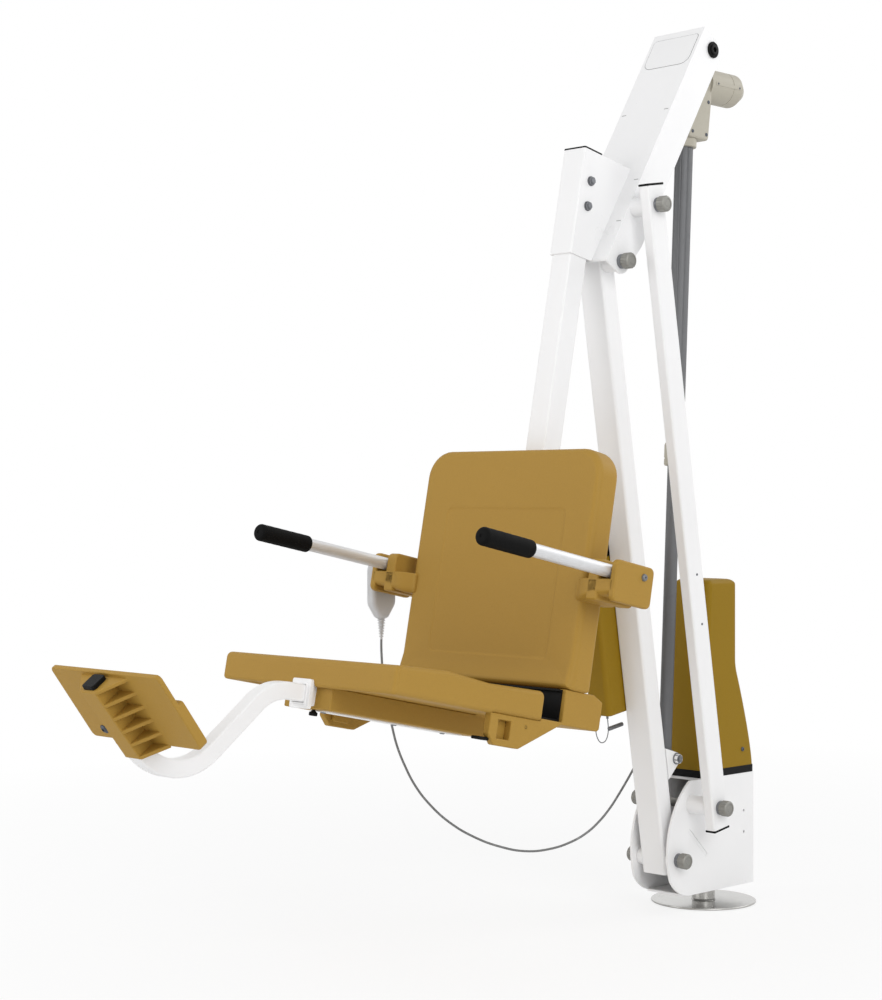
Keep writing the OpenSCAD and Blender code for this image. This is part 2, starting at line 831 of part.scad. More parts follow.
// Head channel
module channel_side() difference() {
  union() {
    circle(channel_tail);
    polygon([
      [0, -channel_tail], [channel_front, -channel_tail], [channel_front, head_l],
      [-channel_back + channel_corner_r, head_l], [-channel_back, head_l - channel_corner_r],
      [-channel_back, channel_taper], [-channel_tail, 0], [0, 0]
    ]);
    translate([-channel_back + channel_corner_r, head_l - channel_corner_r]) circle(channel_corner_r);
  }
  translate([channel_front - channel_nose_r, -channel_tail]) difference() {
    translate([0, -over]) square([channel_nose_r + over, channel_nose_r + over]);
    translate([0, channel_nose_r]) circle(channel_nose_r);
  }
}

module panel_outline(grow) translate([-panel_w / 2 - grow, -grow])
  round_rect(panel_w + 2 * grow, panel_h + 2 * grow, panel_r / 2);

module on_front() translate([channel_front, 0, 0]) rotate([90, 0, 90]) children();

module head_channel() color(steel_white) head_frame() difference() {
  union() {
    slab(-head_out, head_out) channel_side();
    translate([link_top_n, 0, link_top_h]) bar(boss_d, head_out, link_in - side_gap);
  }
  translate([-channel_back - over, -head_in, -channel_tail - over])
    cube([channel_back + channel_front - head_t + over, 2 * head_in, head_l + channel_tail + 2 * over]);
  for (p = [[0, 0], [link_top_n, link_top_h]])
    translate([p.x, 0, p.y]) bar(shaft_d + 2 * run_gap, -head_w, head_w);
  translate([top_pin_n, 0, top_pin_h]) bar(top_pin_d + 2 * run_gap, -head_w, head_w);
  on_front() translate([0, head_l - panel_top - panel_h, -head_t - over])
    linear_extrude(head_t + 2 * over) panel_outline(panel_gap);
  for (s = tab_hole_h_shares, y = [-1, 1])
    on_front() translate([y * (head_in - tab_hole_l), s * (head_l - panel_top - panel_h), -head_t - over])
    translate([-tab_hole_l / 2, -tab_hole_w / 2, 0])
    cube([tab_hole_l, tab_hole_w, head_t + 2 * over]);
}

module head_panel() color(steel_white) head_frame()
  on_front() translate([0, head_l - panel_top - panel_h, -head_t]) {
    linear_extrude(head_t) panel_outline(0);
    translate([-panel_w / 2 - panel_tongue, panel_h / 3, -over])
      cube([panel_w + 2 * panel_tongue, panel_h / 3, over]);
  }

module head_shaft() color(zinc) translate([head_x, 0, head_z]) {
  bar(shaft_d, -head_out - cap_l + shaft_inset + side_gap, head_out + cap_l - shaft_inset - side_gap);
  both() end_cap(head_out);
}

module link_shaft_top() color(zinc) translate([link_top_x, 0, link_top_z]) {
  bar(shaft_d, -head_out - cap_l + shaft_inset + side_gap,
      link_out + side_gap + cap_l - cap_step - shaft_inset);
  end_cap(link_out + side_gap);
  mirror([0, 1, 0]) end_cap(head_out);
}

module top_pin() color(zinc) translate([pin_x, 0, pin_z]) {
  bar(top_pin_d, -head_out, head_out);
  both() bar(top_cap_d, head_out, head_out + top_cap_t);
}

// Seat arm in its socket
function seat_n(u, v) = (u - pivot_u) * cos(head_lean - seat_tilt) + (v - pivot_v) * sin(head_lean - seat_tilt);
// Where the line of height v meets the channel's front face, as a u value
function face_u(v) = arm_u - (seat_n(arm_u, v) - channel_front) / cos(head_lean - seat_tilt);
socket_bolts = [for (s = socket_bolt_v_shares) [socket_bolt_u, socket_low + (socket_top - socket_low) * (1 - s)]];

module arm_socket() color(steel_white) seat_frame() difference() {
  slab(-socket_out, socket_out) polygon([
    [face_u(socket_low), socket_low], [arm_front + socket_t, socket_low],
    [arm_front + socket_t, socket_top], [face_u(socket_top), socket_top]
  ]);
  translate([0, -socket_in, socket_low - over])
    cube([arm_front + run_gap, 2 * socket_in, socket_top - socket_low + 2 * over]);
  for (p = socket_bolts) translate([p.x, 0, p.y]) bar(bolt_d + 2 * run_gap, -head_w, head_w);
}

module ear_screw() {
  bar(ear_screw_d, seat_half, seat_half + screw_head_h);
}

module seat_bolts() color(zinc) {
  seat_frame() {
    for (p = socket_bolts) translate([p.x, 0, p.y]) {
      bar(bolt_d, -socket_out, socket_out);
      both() bar(bolt_head_d, socket_out, socket_out + bolt_head_h);
    }
    both() translate([ear_screw_u, 0, ear_screw_v]) ear_screw();
    both() translate([rest_u, 0, rest_v]) {
      bar(rest_pin_d, rest_y - fork_gap / 2 - fork_in_t / 2, rest_y + fork_gap / 2 + fork_out_t);
      bar(rest_pin_head, rest_y + fork_gap / 2 + fork_out_t,
          rest_y + fork_gap / 2 + fork_out_t + rest_pin_head_h);
    }
  }
}

module seat_arm() color(steel_white) seat_frame() translate([arm_u + arm_d / 2, 0, arm_foot]) difference() {
  box_tube(arm_d, arm_d, arm_top - arm_foot, arm_wall);
  for (p = socket_bolts)
    translate([p.x - arm_u - arm_d / 2, 0, p.y - arm_foot]) bar(bolt_d + 2 * run_gap, -arm_d, arm_d);
}

module arm_end_cap() color(dark) seat_frame() translate([arm_u + arm_d / 2, 0, arm_top]) {
  translate([-arm_d / 2, -arm_d / 2, 0]) cube([arm_d, arm_d, arm_cap_t]);
  translate([-arm_d / 2 + arm_wall, -arm_d / 2 + arm_wall, -plug_depth])
    cube([arm_d - 2 * arm_wall, arm_d - 2 * arm_wall, plug_depth]);
}

// Seat mouldings
module back_rim(y, v, r) translate([arm_front, y, v]) rotate([0, 90, 0])
  rotate_extrude($fn = hull_fn) {
    square([r - back_edge_r, back_t]);
    translate([0, back_edge_r]) square([r, back_t - 2 * back_edge_r]);
    translate([r - back_edge_r, back_edge_r]) circle(back_edge_r, $fn = hull_fn);
    translate([r - back_edge_r, back_t - back_edge_r]) circle(back_edge_r, $fn = hull_fn);
  }

module seat_back() color(seat_tan) seat_frame() difference() {
  hull() {
    for (s = [-1, 1]) {
      back_rim(s * (seat_half - back_corner_r), back_top - back_corner_r, back_corner_r);
      back_rim(s * (seat_half - back_low_r), back_low + back_low_r, back_low_r);
    }
  }
  translate([arm_front + back_t - back_panel_deep, 0, back_panel_low]) rotate([90, 0, 90])
    linear_extrude(back_panel_deep + over) translate([-back_panel_w / 2, 0])
    round_rect(back_panel_w, back_panel_top - back_panel_low, back_corner_r / 2);
}

module ear_outline() difference() {
  polygon([[ear_rear, pan_v], [ear_toe, ear_low], [ear_front - ear_chamfer, ear_low],
           [ear_front, ear_low + ear_chamfer], [ear_front, pan_v]]);
  translate([ear_hole_u - ear_hole / 2, ear_hole_v - ear_hole / 2]) square([ear_hole, ear_hole]);
}

module foot_outline() polygon([
  [foot_rear_u, foot_rear_v], [foot_rear_u, pan_v + foot_corner], [foot_rear_u + foot_corner, pan_v],
  [pan_u - side_gap, pan_v], [pan_u - side_gap, slot_v], [slot_rear_u, slot_v],
  [slot_rear_u, back_low], [arm_u + foot_shoulder, back_low]
]);

module seat_base() color(seat_tan) seat_frame() difference() {
  union() {
    slab(-seat_half, seat_half) foot_outline();
    both() slab(seat_half - cheek_t, seat_half) ear_outline();
    difference() {
      translate([box_u, -box_half, box_low]) cube([box_front - box_u, 2 * box_half, pan_v - box_low]);
      translate([recv_back - tube_tail - foot_tube, -foot_tube / 2 - slide_gap, tube_v - foot_tube / 2 - slide_gap])
        cube([box_front - recv_back + tube_tail + foot_tube + over, foot_tube + 2 * slide_gap,
              foot_tube + 2 * slide_gap]);
    }
  }
  translate([arm_u - run_gap, -arm_d / 2 - run_gap, arm_foot])
    cube([arm_d + run_gap, arm_d + 2 * run_gap, back_low - arm_foot + over]);
}

module seat_pan() color(seat_tan) seat_frame() {
  slab(-seat_half, seat_half) polygon([
    [pan_u, pan_v + pan_edge_r / 2], [pan_u + pan_edge_r / 2, pan_v], [pan_front - pan_edge_r / 2, pan_v],
    [pan_front, pan_v + pan_edge_r / 2], [pan_front, pan_top - pan_droop - pan_edge_r / 2],
    [pan_front - pan_edge_r / 2, pan_top - pan_droop],
    [pan_u + pan_l * pan_crest_share, pan_top], [pan_u + pan_l * pan_dip_share, pan_top - pan_dip],
    [pan_u + pan_edge_r, pan_top - pan_edge_r / 4], [pan_u, pan_top - pan_edge_r]
  ]);
  both() {
    slab(seat_half - pan_lip_w, seat_half) translate([ear_front + side_gap, pan_v - pan_lip])
      square([pan_front - pan_edge_r / 2 - ear_front - side_gap, pan_lip + over]);
    slab(recv_w / 2 + side_gap, seat_half) translate([box_front + side_gap, pan_v - pan_lip])
      square([pan_lip_t - side_gap - pan_edge_r / 2, pan_lip + over]);
  }
}

module slot_liner() color(dark) seat_frame() slab(-seat_half + over, seat_half - over) difference() {
  translate([slot_rear_u + side_gap, slot_v + side_gap])
    square([pan_u - slot_rear_u - 2 * side_gap, slot_top - slot_v - 2 * side_gap]);
  translate([slot_rear_u + liner_t, slot_v + liner_t])
    square([pan_u - slot_rear_u, slot_top - slot_v - 2 * liner_t]);
  translate([slot_rear_u + liner_lip, slot_v + liner_t])
    square([pan_u - slot_rear_u, slot_top - slot_v]);
}

module fork_cheek(y0, y1) slab(y0, y1) translate([fork_rear, fork_low])
  round_rect(fork_front - fork_rear, fork_high - fork_low, fork_r);

module fork() difference() {
  union() {
    slab(seat_half, rest_y + fork_gap / 2) translate([fork_rear, fork_low])
      round_rect(fork_front - fork_rear, fork_floor - fork_low, fork_r);
    fork_cheek(rest_y - fork_gap / 2 - fork_in_t, rest_y - fork_gap / 2);
    fork_cheek(rest_y + fork_gap / 2, rest_y + fork_gap / 2 + fork_out_t);
  }
  translate([rest_u, 0, rest_v])
    bar(rest_pin_d + 2 * run_gap, rest_y - fork_gap / 2 - fork_in_t / 2,
        rest_y + fork_gap / 2 + fork_out_t + over);
}

module armrest_forks() color(seat_tan) seat_frame() both() fork();

module footrest_receiver() color(steel_white) seat_frame() difference() {
  translate([box_front, -recv_w / 2, box_low]) cube([recv_front - box_front, recv_w, recv_h]);
  translate([box_front - over, -recv_w, pan_v]) cube([pan_front - box_front + over, 2 * recv_w, recv_h]);
  translate([box_front - over, -foot_tube / 2 - slide_gap, tube_v - foot_tube / 2 - slide_gap])
    cube([recv_l + 2 * over, foot_tube + 2 * slide_gap, foot_tube + 2 * slide_gap]);
  translate([knob_u, 0, box_low - over]) cylinder(d = plunger_d + 2 * run_gap, h = recv_h);
}

// Locking pin on a wire loop under the battery case
module lock_pin() color(zinc) mast_frame() {
  swept_tube(lanyard_points, lanyard_d, cable_sides);
  translate([pin_far_n, case_mid, pin_h]) rotate([0, 90, 0]) cylinder(d = lock_pin_d, h = lock_pin_l);
}

// Armrests
module armrest() color(zinc) seat_frame() difference() {
  union() {
    translate([rest_u, rest_y, rest_v]) rotate([0, 90, 0]) cylinder(d = rest_d, h = rest_l);
    translate([rest_u, rest_y, rest_v]) sphere(d = rest_d);
  }
  translate([rest_u, 0, rest_v]) bar(rest_pin_d + 2 * run_gap, rest_y - rest_d, rest_y + rest_d);
}
module grip() color(dark) seat_frame() translate([rest_u + rest_l - grip_l, rest_y, rest_v])
  rotate([0, 90, 0]) difference() {
    union() {
      cylinder(d = grip_d, h = grip_l);
      translate([0, 0, grip_l]) cylinder(d1 = grip_d, d2 = grip_d - 2 * grip_end, h = grip_end);
    }
    translate([0, 0, -over]) cylinder(d = rest_d, h = grip_l + over);
  }
module armrest_near() armrest();
module armrest_far() mirror([0, 1, 0]) armrest();
module grip_near() grip();
module grip_far() mirror([0, 1, 0]) grip();

// Footrest tube: along the receiver, down, and up inside the plate's spine
function dir(a) = [cos(a), sin(a)];
function along(p, a, l) = p + l * dir(a);
tube_end = [foot_edge.x + tube_n * sin(foot_slope), foot_edge.y - tube_n * cos(foot_slope)];
mouth = seat_point(recv_front, tube_v);
// Crossing of two lines, each a point and an angle, as a distance along the first
function cross_at(p, a, q, b) = ((q.x - p.x) * sin(b) - (q.y - p.y) * cos(b)) / sin(b - a);
knee = along(mouth, seat_tilt, cross_at(mouth, seat_tilt, knee_point, down_angle));
heel = along(knee, down_angle, cross_at(knee, down_angle, tube_end, foot_slope));
turn_1 = down_angle - seat_tilt;
turn_2 = foot_slope - down_angle;
cut_1 = foot_bend_r * tan(abs(turn_1) / 2);
cut_2 = foot_bend_r * tan(turn_2 / 2);
tube_start = along(mouth, seat_tilt, -recv_l - tube_tail);

// Stations of a bend that starts at p going at angle a and turns by t, each a point and an angle
function bend_stations(p, a, t) =
  let (s = sign(t), n = ceil(abs(t) / bend_step), c = p + s * foot_bend_r * dir(a + 90))
  [for (i = [0:n]) let (b = a + t * i / n) [c - s * foot_bend_r * dir(b + 90), b]];
function tube_stations(extra) = concat(
  [[along(tube_start, seat_tilt, -extra), seat_tilt]],
  bend_stations(along(knee, seat_tilt, -cut_1), seat_tilt, turn_1),
  bend_stations(along(heel, down_angle, -cut_2), down_angle, turn_2),
  [[along(tube_end, foot_slope, extra - foot_plug_t), foot_slope]]);
module tube_outline(half, extra) {
  stations = tube_stations(extra);
  upper = [for (q = stations) q[0] + half * dir(q[1] + 90)];
  lower = [for (i = [len(stations) - 1:-1:0]) stations[i][0] - half * dir(stations[i][1] + 90)];
  polygon(concat(upper, lower));
}

module footrest_tube() color(steel_white) difference() {
  slab(-foot_tube / 2, foot_tube / 2) tube_outline(foot_tube / 2, 0);
  slab(-foot_tube / 2 + tube_wall, foot_tube / 2 - tube_wall) tube_outline(foot_tube / 2 - tube_wall, over);
  seat_frame() translate([knob_u - foot_travel - tube_slot_w / 2, -tube_slot_w / 2, tube_v - foot_tube / 2 - over])
    cube([foot_travel + tube_slot_w, tube_slot_w, tube_wall + 2 * over]);
}

// Plate outline across and down the slope, drawn with Y across
module plate_outline(w) translate([-w / 2, -foot_l]) round_rect(w, foot_l, foot_corner_r);

module footrest_plate() color(seat_tan) plate_frame() difference() {
  union() {
    rotate([90, 0, 90]) translate([0, 0, -foot_t]) linear_extrude(foot_t) plate_outline(foot_w);
    rotate([90, 0, 90]) translate([0, 0, -foot_t - foot_step]) linear_extrude(foot_step + over)
      intersection() {
        plate_outline(foot_w);
        translate([-foot_w / 2, -foot_l]) square([foot_w, foot_l - foot_step_at]);
      }
    translate([0, 0, -foot_l]) linear_extrude(foot_l) polygon([
      [-over, -spine_foot / 2], [spine_h, -spine_crest / 2],
      [spine_h, spine_crest / 2], [-over, spine_foot / 2]
    ]);
  }
  translate([tube_n - foot_tube / 2 - run_gap, -foot_tube / 2 - run_gap, -foot_l - over])
    cube([foot_tube + 2 * run_gap, foot_tube + 2 * run_gap, foot_l + 2 * over]);
  pitch = foot_l / (foot_ribs + 1);
  for (i = [0:foot_ribs]) both()
    translate([0, spine_crest / 2, -foot_l + i * pitch + rib_t / 2])
    cube([spine_h - spine_wall, spine_foot, pitch - rib_t]);
}

module footrest_fittings() {
  color(dark) plate_frame() translate([tube_n, 0, -foot_plug_t])
    translate([-foot_tube / 2, -foot_tube / 2, 0]) cube([foot_tube, foot_tube, foot_plug_t]);
  color(zinc) plate_frame() translate([0, -foot_bolt_y, -foot_bolt_down])
    rotate([0, 90, 0]) cylinder(d = foot_bolt_d, h = foot_t / 2);
}

module footrest_knob() color(dark) seat_frame() translate([knob_u, 0, box_low - side_gap]) {
  translate([0, 0, -knob_l - side_gap]) cylinder(d = knob_d, h = knob_l);
  translate([0, 0, -side_gap - over]) cylinder(d = plunger_d, h = tube_v - foot_tube / 2 + tube_wall - box_low + side_gap + over);
}

// Actuator
module actuator_gearbox() color(beige) actuator_frame() difference() {
  union() {
    slab(-case_half, case_half) union() {
      polygon([
        [-box_rear, -motor_drop + motor_d / 2], [-box_top, box_top], [box_top, box_top],
        [box_nose, 0], [box_nose, -box_low_end], [-box_rear / 2, -box_low_end],
        [-box_rear, -motor_drop - motor_d / 2]
      ]);
    }
    translate([0, 0, -box_deep]) cylinder(d = tube_d + 2 * box_neck, h = box_deep - box_low_end);
  }
  bar(top_pin_d + 2 * run_gap, -case_half - over, case_half + over);
  translate([0, 0, -box_deep - over]) cylinder(d = tube_bore, h = box_deep - box_low_end + over);
}

module actuator_motor() color(beige) actuator_frame()
  translate([-box_rear, 0, -motor_drop]) rotate([0, -90, 0]) {
    cylinder(d = motor_d, h = motor_l - motor_taper);
    translate([0, 0, motor_l - motor_taper]) cylinder(d1 = motor_d, d2 = motor_tip_d, h = motor_taper);
    translate([0, 0, motor_l]) cylinder(d = motor_knob_d, h = motor_knob_l);
  }

module actuator_tube() color(zinc) actuator_frame()
  translate([0, 0, -tube_reach + collar_l]) difference() {
    cylinder(d = tube_d, h = tube_reach - collar_l - box_deep);
    translate([0, 0, -over]) cylinder(d = tube_bore, h = tube_reach);
  }

module actuator_collar() color(beige) actuator_frame()
  translate([0, 0, -tube_reach]) difference() {
    cylinder(d = collar_d, h = collar_l);
    translate([0, 0, -over]) cylinder(d = tube_bore, h = collar_l + 2 * over);
  }

module lead_screw() color(zinc) actuator_frame()
  translate([0, 0, -tube_reach + collar_l]) cylinder(d = screw_d, h = tube_reach - collar_l - box_low_end);

module actuator_rod() color(zinc) actuator_frame() {
  difference() {
    union() {
      translate([0, 0, -act_l]) cylinder(d = rod_d, h = rod_l);
      translate([0, 0, -act_l]) bar(2 * eye_r, -eye_half, eye_half);
    }
    translate([0, 0, -act_l + eye_r]) cylinder(d = rod_bore, h = rod_l);
    translate([0, 0, -act_l]) bar(lug_pin_d + 2 * run_gap, -eye_half - over, eye_half + over);
  }
}

// Handset
module handset_frame() translate([handset_x, handset_y - handset_gap, handset_z]) children();
module handset_body() color("#c8c9cb") handset_frame() difference() {
  union() {
    translate([0, 0, -handset_h / 2]) rotate([90, 0, 0]) linear_extrude(handset_t)
      translate([-handset_w / 2, 0]) round_rect(handset_w, handset_h, handset_w / 3);
    for (i = [0:relief_ribs - 1])
      translate([0, -handset_t / 2, -handset_h / 2 - relief_l * (i + relief_rise) / relief_ribs])
      cylinder(d = relief_d * (1 - relief_taper * i), h = relief_l / relief_ribs / 2);
    translate([0, -handset_t / 2, -handset_h / 2 - relief_l]) cylinder(d = relief_d / 2 + over, h = relief_l + over);
    translate([-handset_w / 6, -over, 0]) cube([handset_w / 3, handset_gap + over - side_gap, hook_t]);
  }
  for (x = [-1, 1], z = [0, 1])
    translate([x * button_pitch_x / 2, -handset_t, z * button_pitch_z])
    bar(button_d + 2 * button_gap, -over, button_pocket);
}
module button(x, z) color(dark) handset_frame()
  translate([x * button_pitch_x / 2, -handset_t, z * button_pitch_z])
  bar(button_d, -button_out, button_pocket - button_stroke - side_gap);
module button_up() button(-1, 1);
module button_down() button(-1, 0);
module button_left() button(1, 1);
module button_right() button(1, 0);

// A round tube swept along points, as one closed polyhedron
function unit(v) = v / norm(v);
function tangent(p, i) = unit(p[min(i + 1, len(p) - 1)] - p[max(i - 1, 0)]);
module swept_tube(p, d, sides) {
  rings = [for (i = [0:len(p) - 1])
    let (t = tangent(p, i), a = unit(cross(t, [0, 0, 1]) + [1, 0, 0] * (abs(t.z) > 0.99 ? 1 : 0)),
         side = unit(a - (a * t) * t), lift = cross(t, side))
    for (k = [0:sides - 1])
      p[i] + d / 2 * (cos(360 * k / sides) * side + sin(360 * k / sides) * lift)];
  n = len(p);
  faces = concat(
    [[for (k = [0:sides - 1]) k]],
    [for (i = [0:n - 2], k = [0:sides - 1])
      [i * sides + k, (i + 1) * sides + k, (i + 1) * sides + (k + 1) % sides, i * sides + (k + 1) % sides]],
    [[for (k = [sides - 1:-1:0]) (n - 1) * sides + k]]);
  polyhedron(rings, faces, convexity = 10);
}
module handset_cable() color("#777777") swept_tube(cable_points, cable_d, cable_sides);

deck_disc();
anchor_post();
swivel_gear();
thrust_pad();
base_side_near();
base_side_far();
base_spine();
base_floor();
swivel_bushes();
swivel_gearmotor();
control_box();
cover();
cover_band();
base_screws();
foot_shaft();
link_shaft_low();
cable_gland();
swivel_pinion();
mast();
mast_spacers();
actuator_lugs();
battery_case();
rear_link();
link_plugs();
head_channel();
head_panel();
head_shaft();
link_shaft_top();
top_pin();
arm_socket();
seat_bolts();
seat_arm();
arm_end_cap();
seat_back();
seat_base();
seat_pan();
slot_liner();
armrest_forks();
footrest_receiver();
lock_pin();
armrest_near();
grip_near();
armrest_far();
grip_far();
footrest_tube();
footrest_plate();
footrest_fittings();
footrest_knob();
actuator_gearbox();
actuator_motor();
actuator_tube();
actuator_collar();
lead_screw();
actuator_rod();
handset_body();
button_up();
button_down();
button_left();
button_right();
handset_cable();
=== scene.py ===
import math

import bmesh
import bpy
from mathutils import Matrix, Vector


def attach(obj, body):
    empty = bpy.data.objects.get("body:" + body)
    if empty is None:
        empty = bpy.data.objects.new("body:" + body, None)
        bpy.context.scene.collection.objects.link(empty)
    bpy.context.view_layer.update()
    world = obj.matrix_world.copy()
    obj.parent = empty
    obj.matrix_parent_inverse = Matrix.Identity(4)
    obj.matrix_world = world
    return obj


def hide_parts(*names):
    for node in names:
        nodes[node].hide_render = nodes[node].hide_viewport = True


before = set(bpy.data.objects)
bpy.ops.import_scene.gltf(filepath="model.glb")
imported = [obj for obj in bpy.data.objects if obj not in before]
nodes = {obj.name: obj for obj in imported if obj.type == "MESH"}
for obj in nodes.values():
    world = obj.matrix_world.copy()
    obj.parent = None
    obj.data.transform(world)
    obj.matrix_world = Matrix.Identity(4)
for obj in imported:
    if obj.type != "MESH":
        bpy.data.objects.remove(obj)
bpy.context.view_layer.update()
mm = 0.001
print("frame loaded:", len(nodes), "nodes")

cameraSetup = {"place": (3.5803, 2.7798, 0.8769), "looksAlong": (-0.7055, -0.7087, 0.0), "lens": 73.68,
               "sensor": 36.0, "shiftUp": 0.0011}
cameraData = bpy.data.cameras.new("photoCamera")
cameraData.lens = cameraSetup["lens"]
cameraData.sensor_width = cameraSetup["sensor"]
cameraData.shift_y = cameraSetup["shiftUp"]
camera = bpy.data.objects.new("photoCamera", cameraData)
camera.location = cameraSetup["place"]
camera.rotation_euler = Vector(cameraSetup["looksAlong"]).to_track_quat("-Z", "Y").to_euler()
bpy.context.scene.collection.objects.link(camera)
bpy.context.scene.camera = camera


class Wire:
    # one socket's value; sums and products of wires add their own Math nodes
    def __init__(self, finish, socket):
        self.finish = finish
        self.socket = socket

    def reckon(self, operation, first, second):
        return self.finish.add("ShaderNodeMath", {"operation": operation}, {0: first, 1: second})

    def __add__(self, other):
        return self.reckon("ADD", self, other)

    def __radd__(self, other):
        return self.reckon("ADD", other, self)

    def __sub__(self, other):
        return self.reckon("SUBTRACT", self, other)

    def __rsub__(self, other):
        return self.reckon("SUBTRACT", other, self)

    def __mul__(self, other):
        return self.reckon("MULTIPLY", self, other)

    def __rmul__(self, other):
        return self.reckon("MULTIPLY", other, self)


class Finish:
    # the nodes of one material, or of the world, and the single way to add one
    def __init__(self, holder, shader="Principled BSDF"):
        holder.use_nodes = True
        self.holder = holder
        self.tree = holder.node_tree
        self.shader = self.tree.nodes[shader]
        self.place = self.add("ShaderNodeTexCoord", {}, {}, "Object")

    def add(self, kind, settings, sockets, output=0):
        node = self.tree.nodes.new(kind)
        for key, value in settings.items():
            if key == "stops":
                stops = node.color_ramp.elements
                while len(stops) < len(value):
                    stops.new(0.5)
                for stop, (position, shade) in zip(stops, value):
                    stop.position = position
                    stop.color = (shade, shade, shade, 1)
            else:
                setattr(node, key, value)
        self.feed(node, sockets)
        return Wire(self, node.outputs[output])

    def feed(self, node, sockets):
        for key, value in sockets.items():
            if isinstance(value, Wire):
                self.tree.links.new(value.socket, node.inputs[key])
            elif node.inputs[key].type == "RGBA" and len(value) == 3:
                node.inputs[key].default_value = (*value, 1)
            else:
                node.inputs[key].default_value = value

    def noise(self, scale, detail=2.0, stretch=(1, 1, 1), rough=0.5):
        where = self.add("ShaderNodeMapping", {}, {"Vector": self.place, "Scale": stretch})
        sockets = {"Vector": where, "Scale": scale, "Detail": detail, "Roughness": rough}
        return self.add("ShaderNodeTexNoise", {}, sockets, "Fac")

    def ramp(self, value, low, high):
        return self.add("ShaderNodeValToRGB", {"stops": [(low, 0), (high, 1)]}, {"Fac": value})

    def blend(self, factor, under, over):
        return self.add("ShaderNodeMix", {"data_type": "RGBA"}, {0: factor, 6: under, 7: over}, 2)

    def bump(self, height, strength, distance):
        sockets = {"Height": height, "Strength": strength, "Distance": distance}
        return self.add("ShaderNodeBump", {}, sockets, "Normal")

    def dress(self, **sockets):
        # a colour may be a wire or three numbers; an underscore stands for a blank in a socket's name
        self.feed(self.shader, {key.replace("_", " "): value for key, value in sockets.items()})
        return self.holder


def linear(red, green, blue):
    # a colour seen on a screen, from 0 to 255, as the shader's own values
    shares = (red / 255, green / 255, blue / 255)
    return tuple(c / 12.92 if c <= 0.04 else ((c + 0.055) / 1.055) ** 2.4 for c in shares)


def toned(colour, factor):
    # the same colour darker or lighter
    return tuple(min(1.0, c * factor) for c in colour)


def powderCoat(name, colour):
    # sprayed and baked paint: orange peel, faint unevenness, a few rubbed streaks
    paint = Finish(bpy.data.materials.new(name))
    cloud = paint.noise(7, 3)
    rubbed = paint.ramp(paint.noise(60, 4, (1, 1, 0.12), 0.7), 0.66, 0.78)
    base = paint.blend(cloud, toned(colour, 0.955), colour)
    base = paint.blend(rubbed * 0.16, base, toned(colour, 0.6))
    peel = paint.noise(620, 3)
    return paint.dress(Base_Color=base, Roughness=0.24 + 0.14 * paint.noise(90, 3) + 0.12 * rubbed,
                       Normal=paint.bump(peel + 0.35 * cloud, 0.09, 0.0004), Specular_IOR_Level=0.45)


def moulded(name, colour, shine, grain=1.0, mottle=1.0, gloss=0.4):
    # rotationally moulded plastic: fine mottled grain, slow colour drift, small pits, pale scuffs
    skin = Finish(bpy.data.materials.new(name))
    fleck = skin.noise(1150, 2, rough=0.65)
    drift = skin.noise(5, 3)
    pits = skin.ramp(skin.noise(420, 2), 0.62, 0.72)
    scuff = skin.ramp(skin.noise(34, 5, (1, 1, 0.35), 0.75), 0.67, 0.8)
    base = skin.blend(fleck * mottle + (0.5 - 0.5 * mottle), toned(colour, 0.8), toned(colour, 1.17))
    base = skin.blend(drift * 0.22, base, toned(colour, 0.8))
    base = skin.blend(pits * 0.22, base, toned(colour, 0.55))
    base = skin.blend(scuff * 0.1, base, toned(colour, 1.7))
    return skin.dress(Base_Color=base, Roughness=shine + 0.16 * skin.noise(240, 2) + 0.1 * scuff,
                      Normal=skin.bump(fleck - 0.7 * pits, 0.22 * grain, 0.0005), Specular_IOR_Level=gloss)


def workedMetal(name, colour, shine, lay=(1, 1, 0.04), depth=0.06, metal=1.0):
    # turned or drawn metal: streaks along the work, cloudy tarnish, finger marks
    steel = Finish(bpy.data.materials.new(name))
    streak = steel.noise(900, 3, lay)
    tarnish = steel.noise(26, 4, rough=0.65)
    marks = steel.ramp(steel.noise(75, 3), 0.58, 0.75)
    base = steel.blend(streak, toned(colour, 0.84), toned(colour, 1.1))
    base = steel.blend(tarnish * 0.28, base, toned(colour, 0.6))
    return steel.dress(Base_Color=base, Metallic=metal, Roughness=shine + 0.14 * streak + 0.12 * marks,
                       Normal=steel.bump(streak + 0.4 * tarnish, depth, 0.0003))


def blackPart(name, colour, shine, pores):
    # rubber, foam or black plastic: pores, dust in them, rubbed places
    black = Finish(bpy.data.materials.new(name))
    cell = black.add("ShaderNodeTexVoronoi", {}, {"Vector": black.place, "Scale": pores}, "Distance")
    dust = black.ramp(black.noise(55, 5, rough=0.7), 0.55, 0.8)
    base = black.blend(cell, toned(colour, 0.7), toned(colour, 1.5))
    base = black.blend(dust * 0.25, base, toned(colour, 5))
    return black.dress(Base_Color=base, Roughness=shine + 0.12 * dust, Normal=black.bump(cell, 0.3, 0.0004),
                       Specular_IOR_Level=0.11)


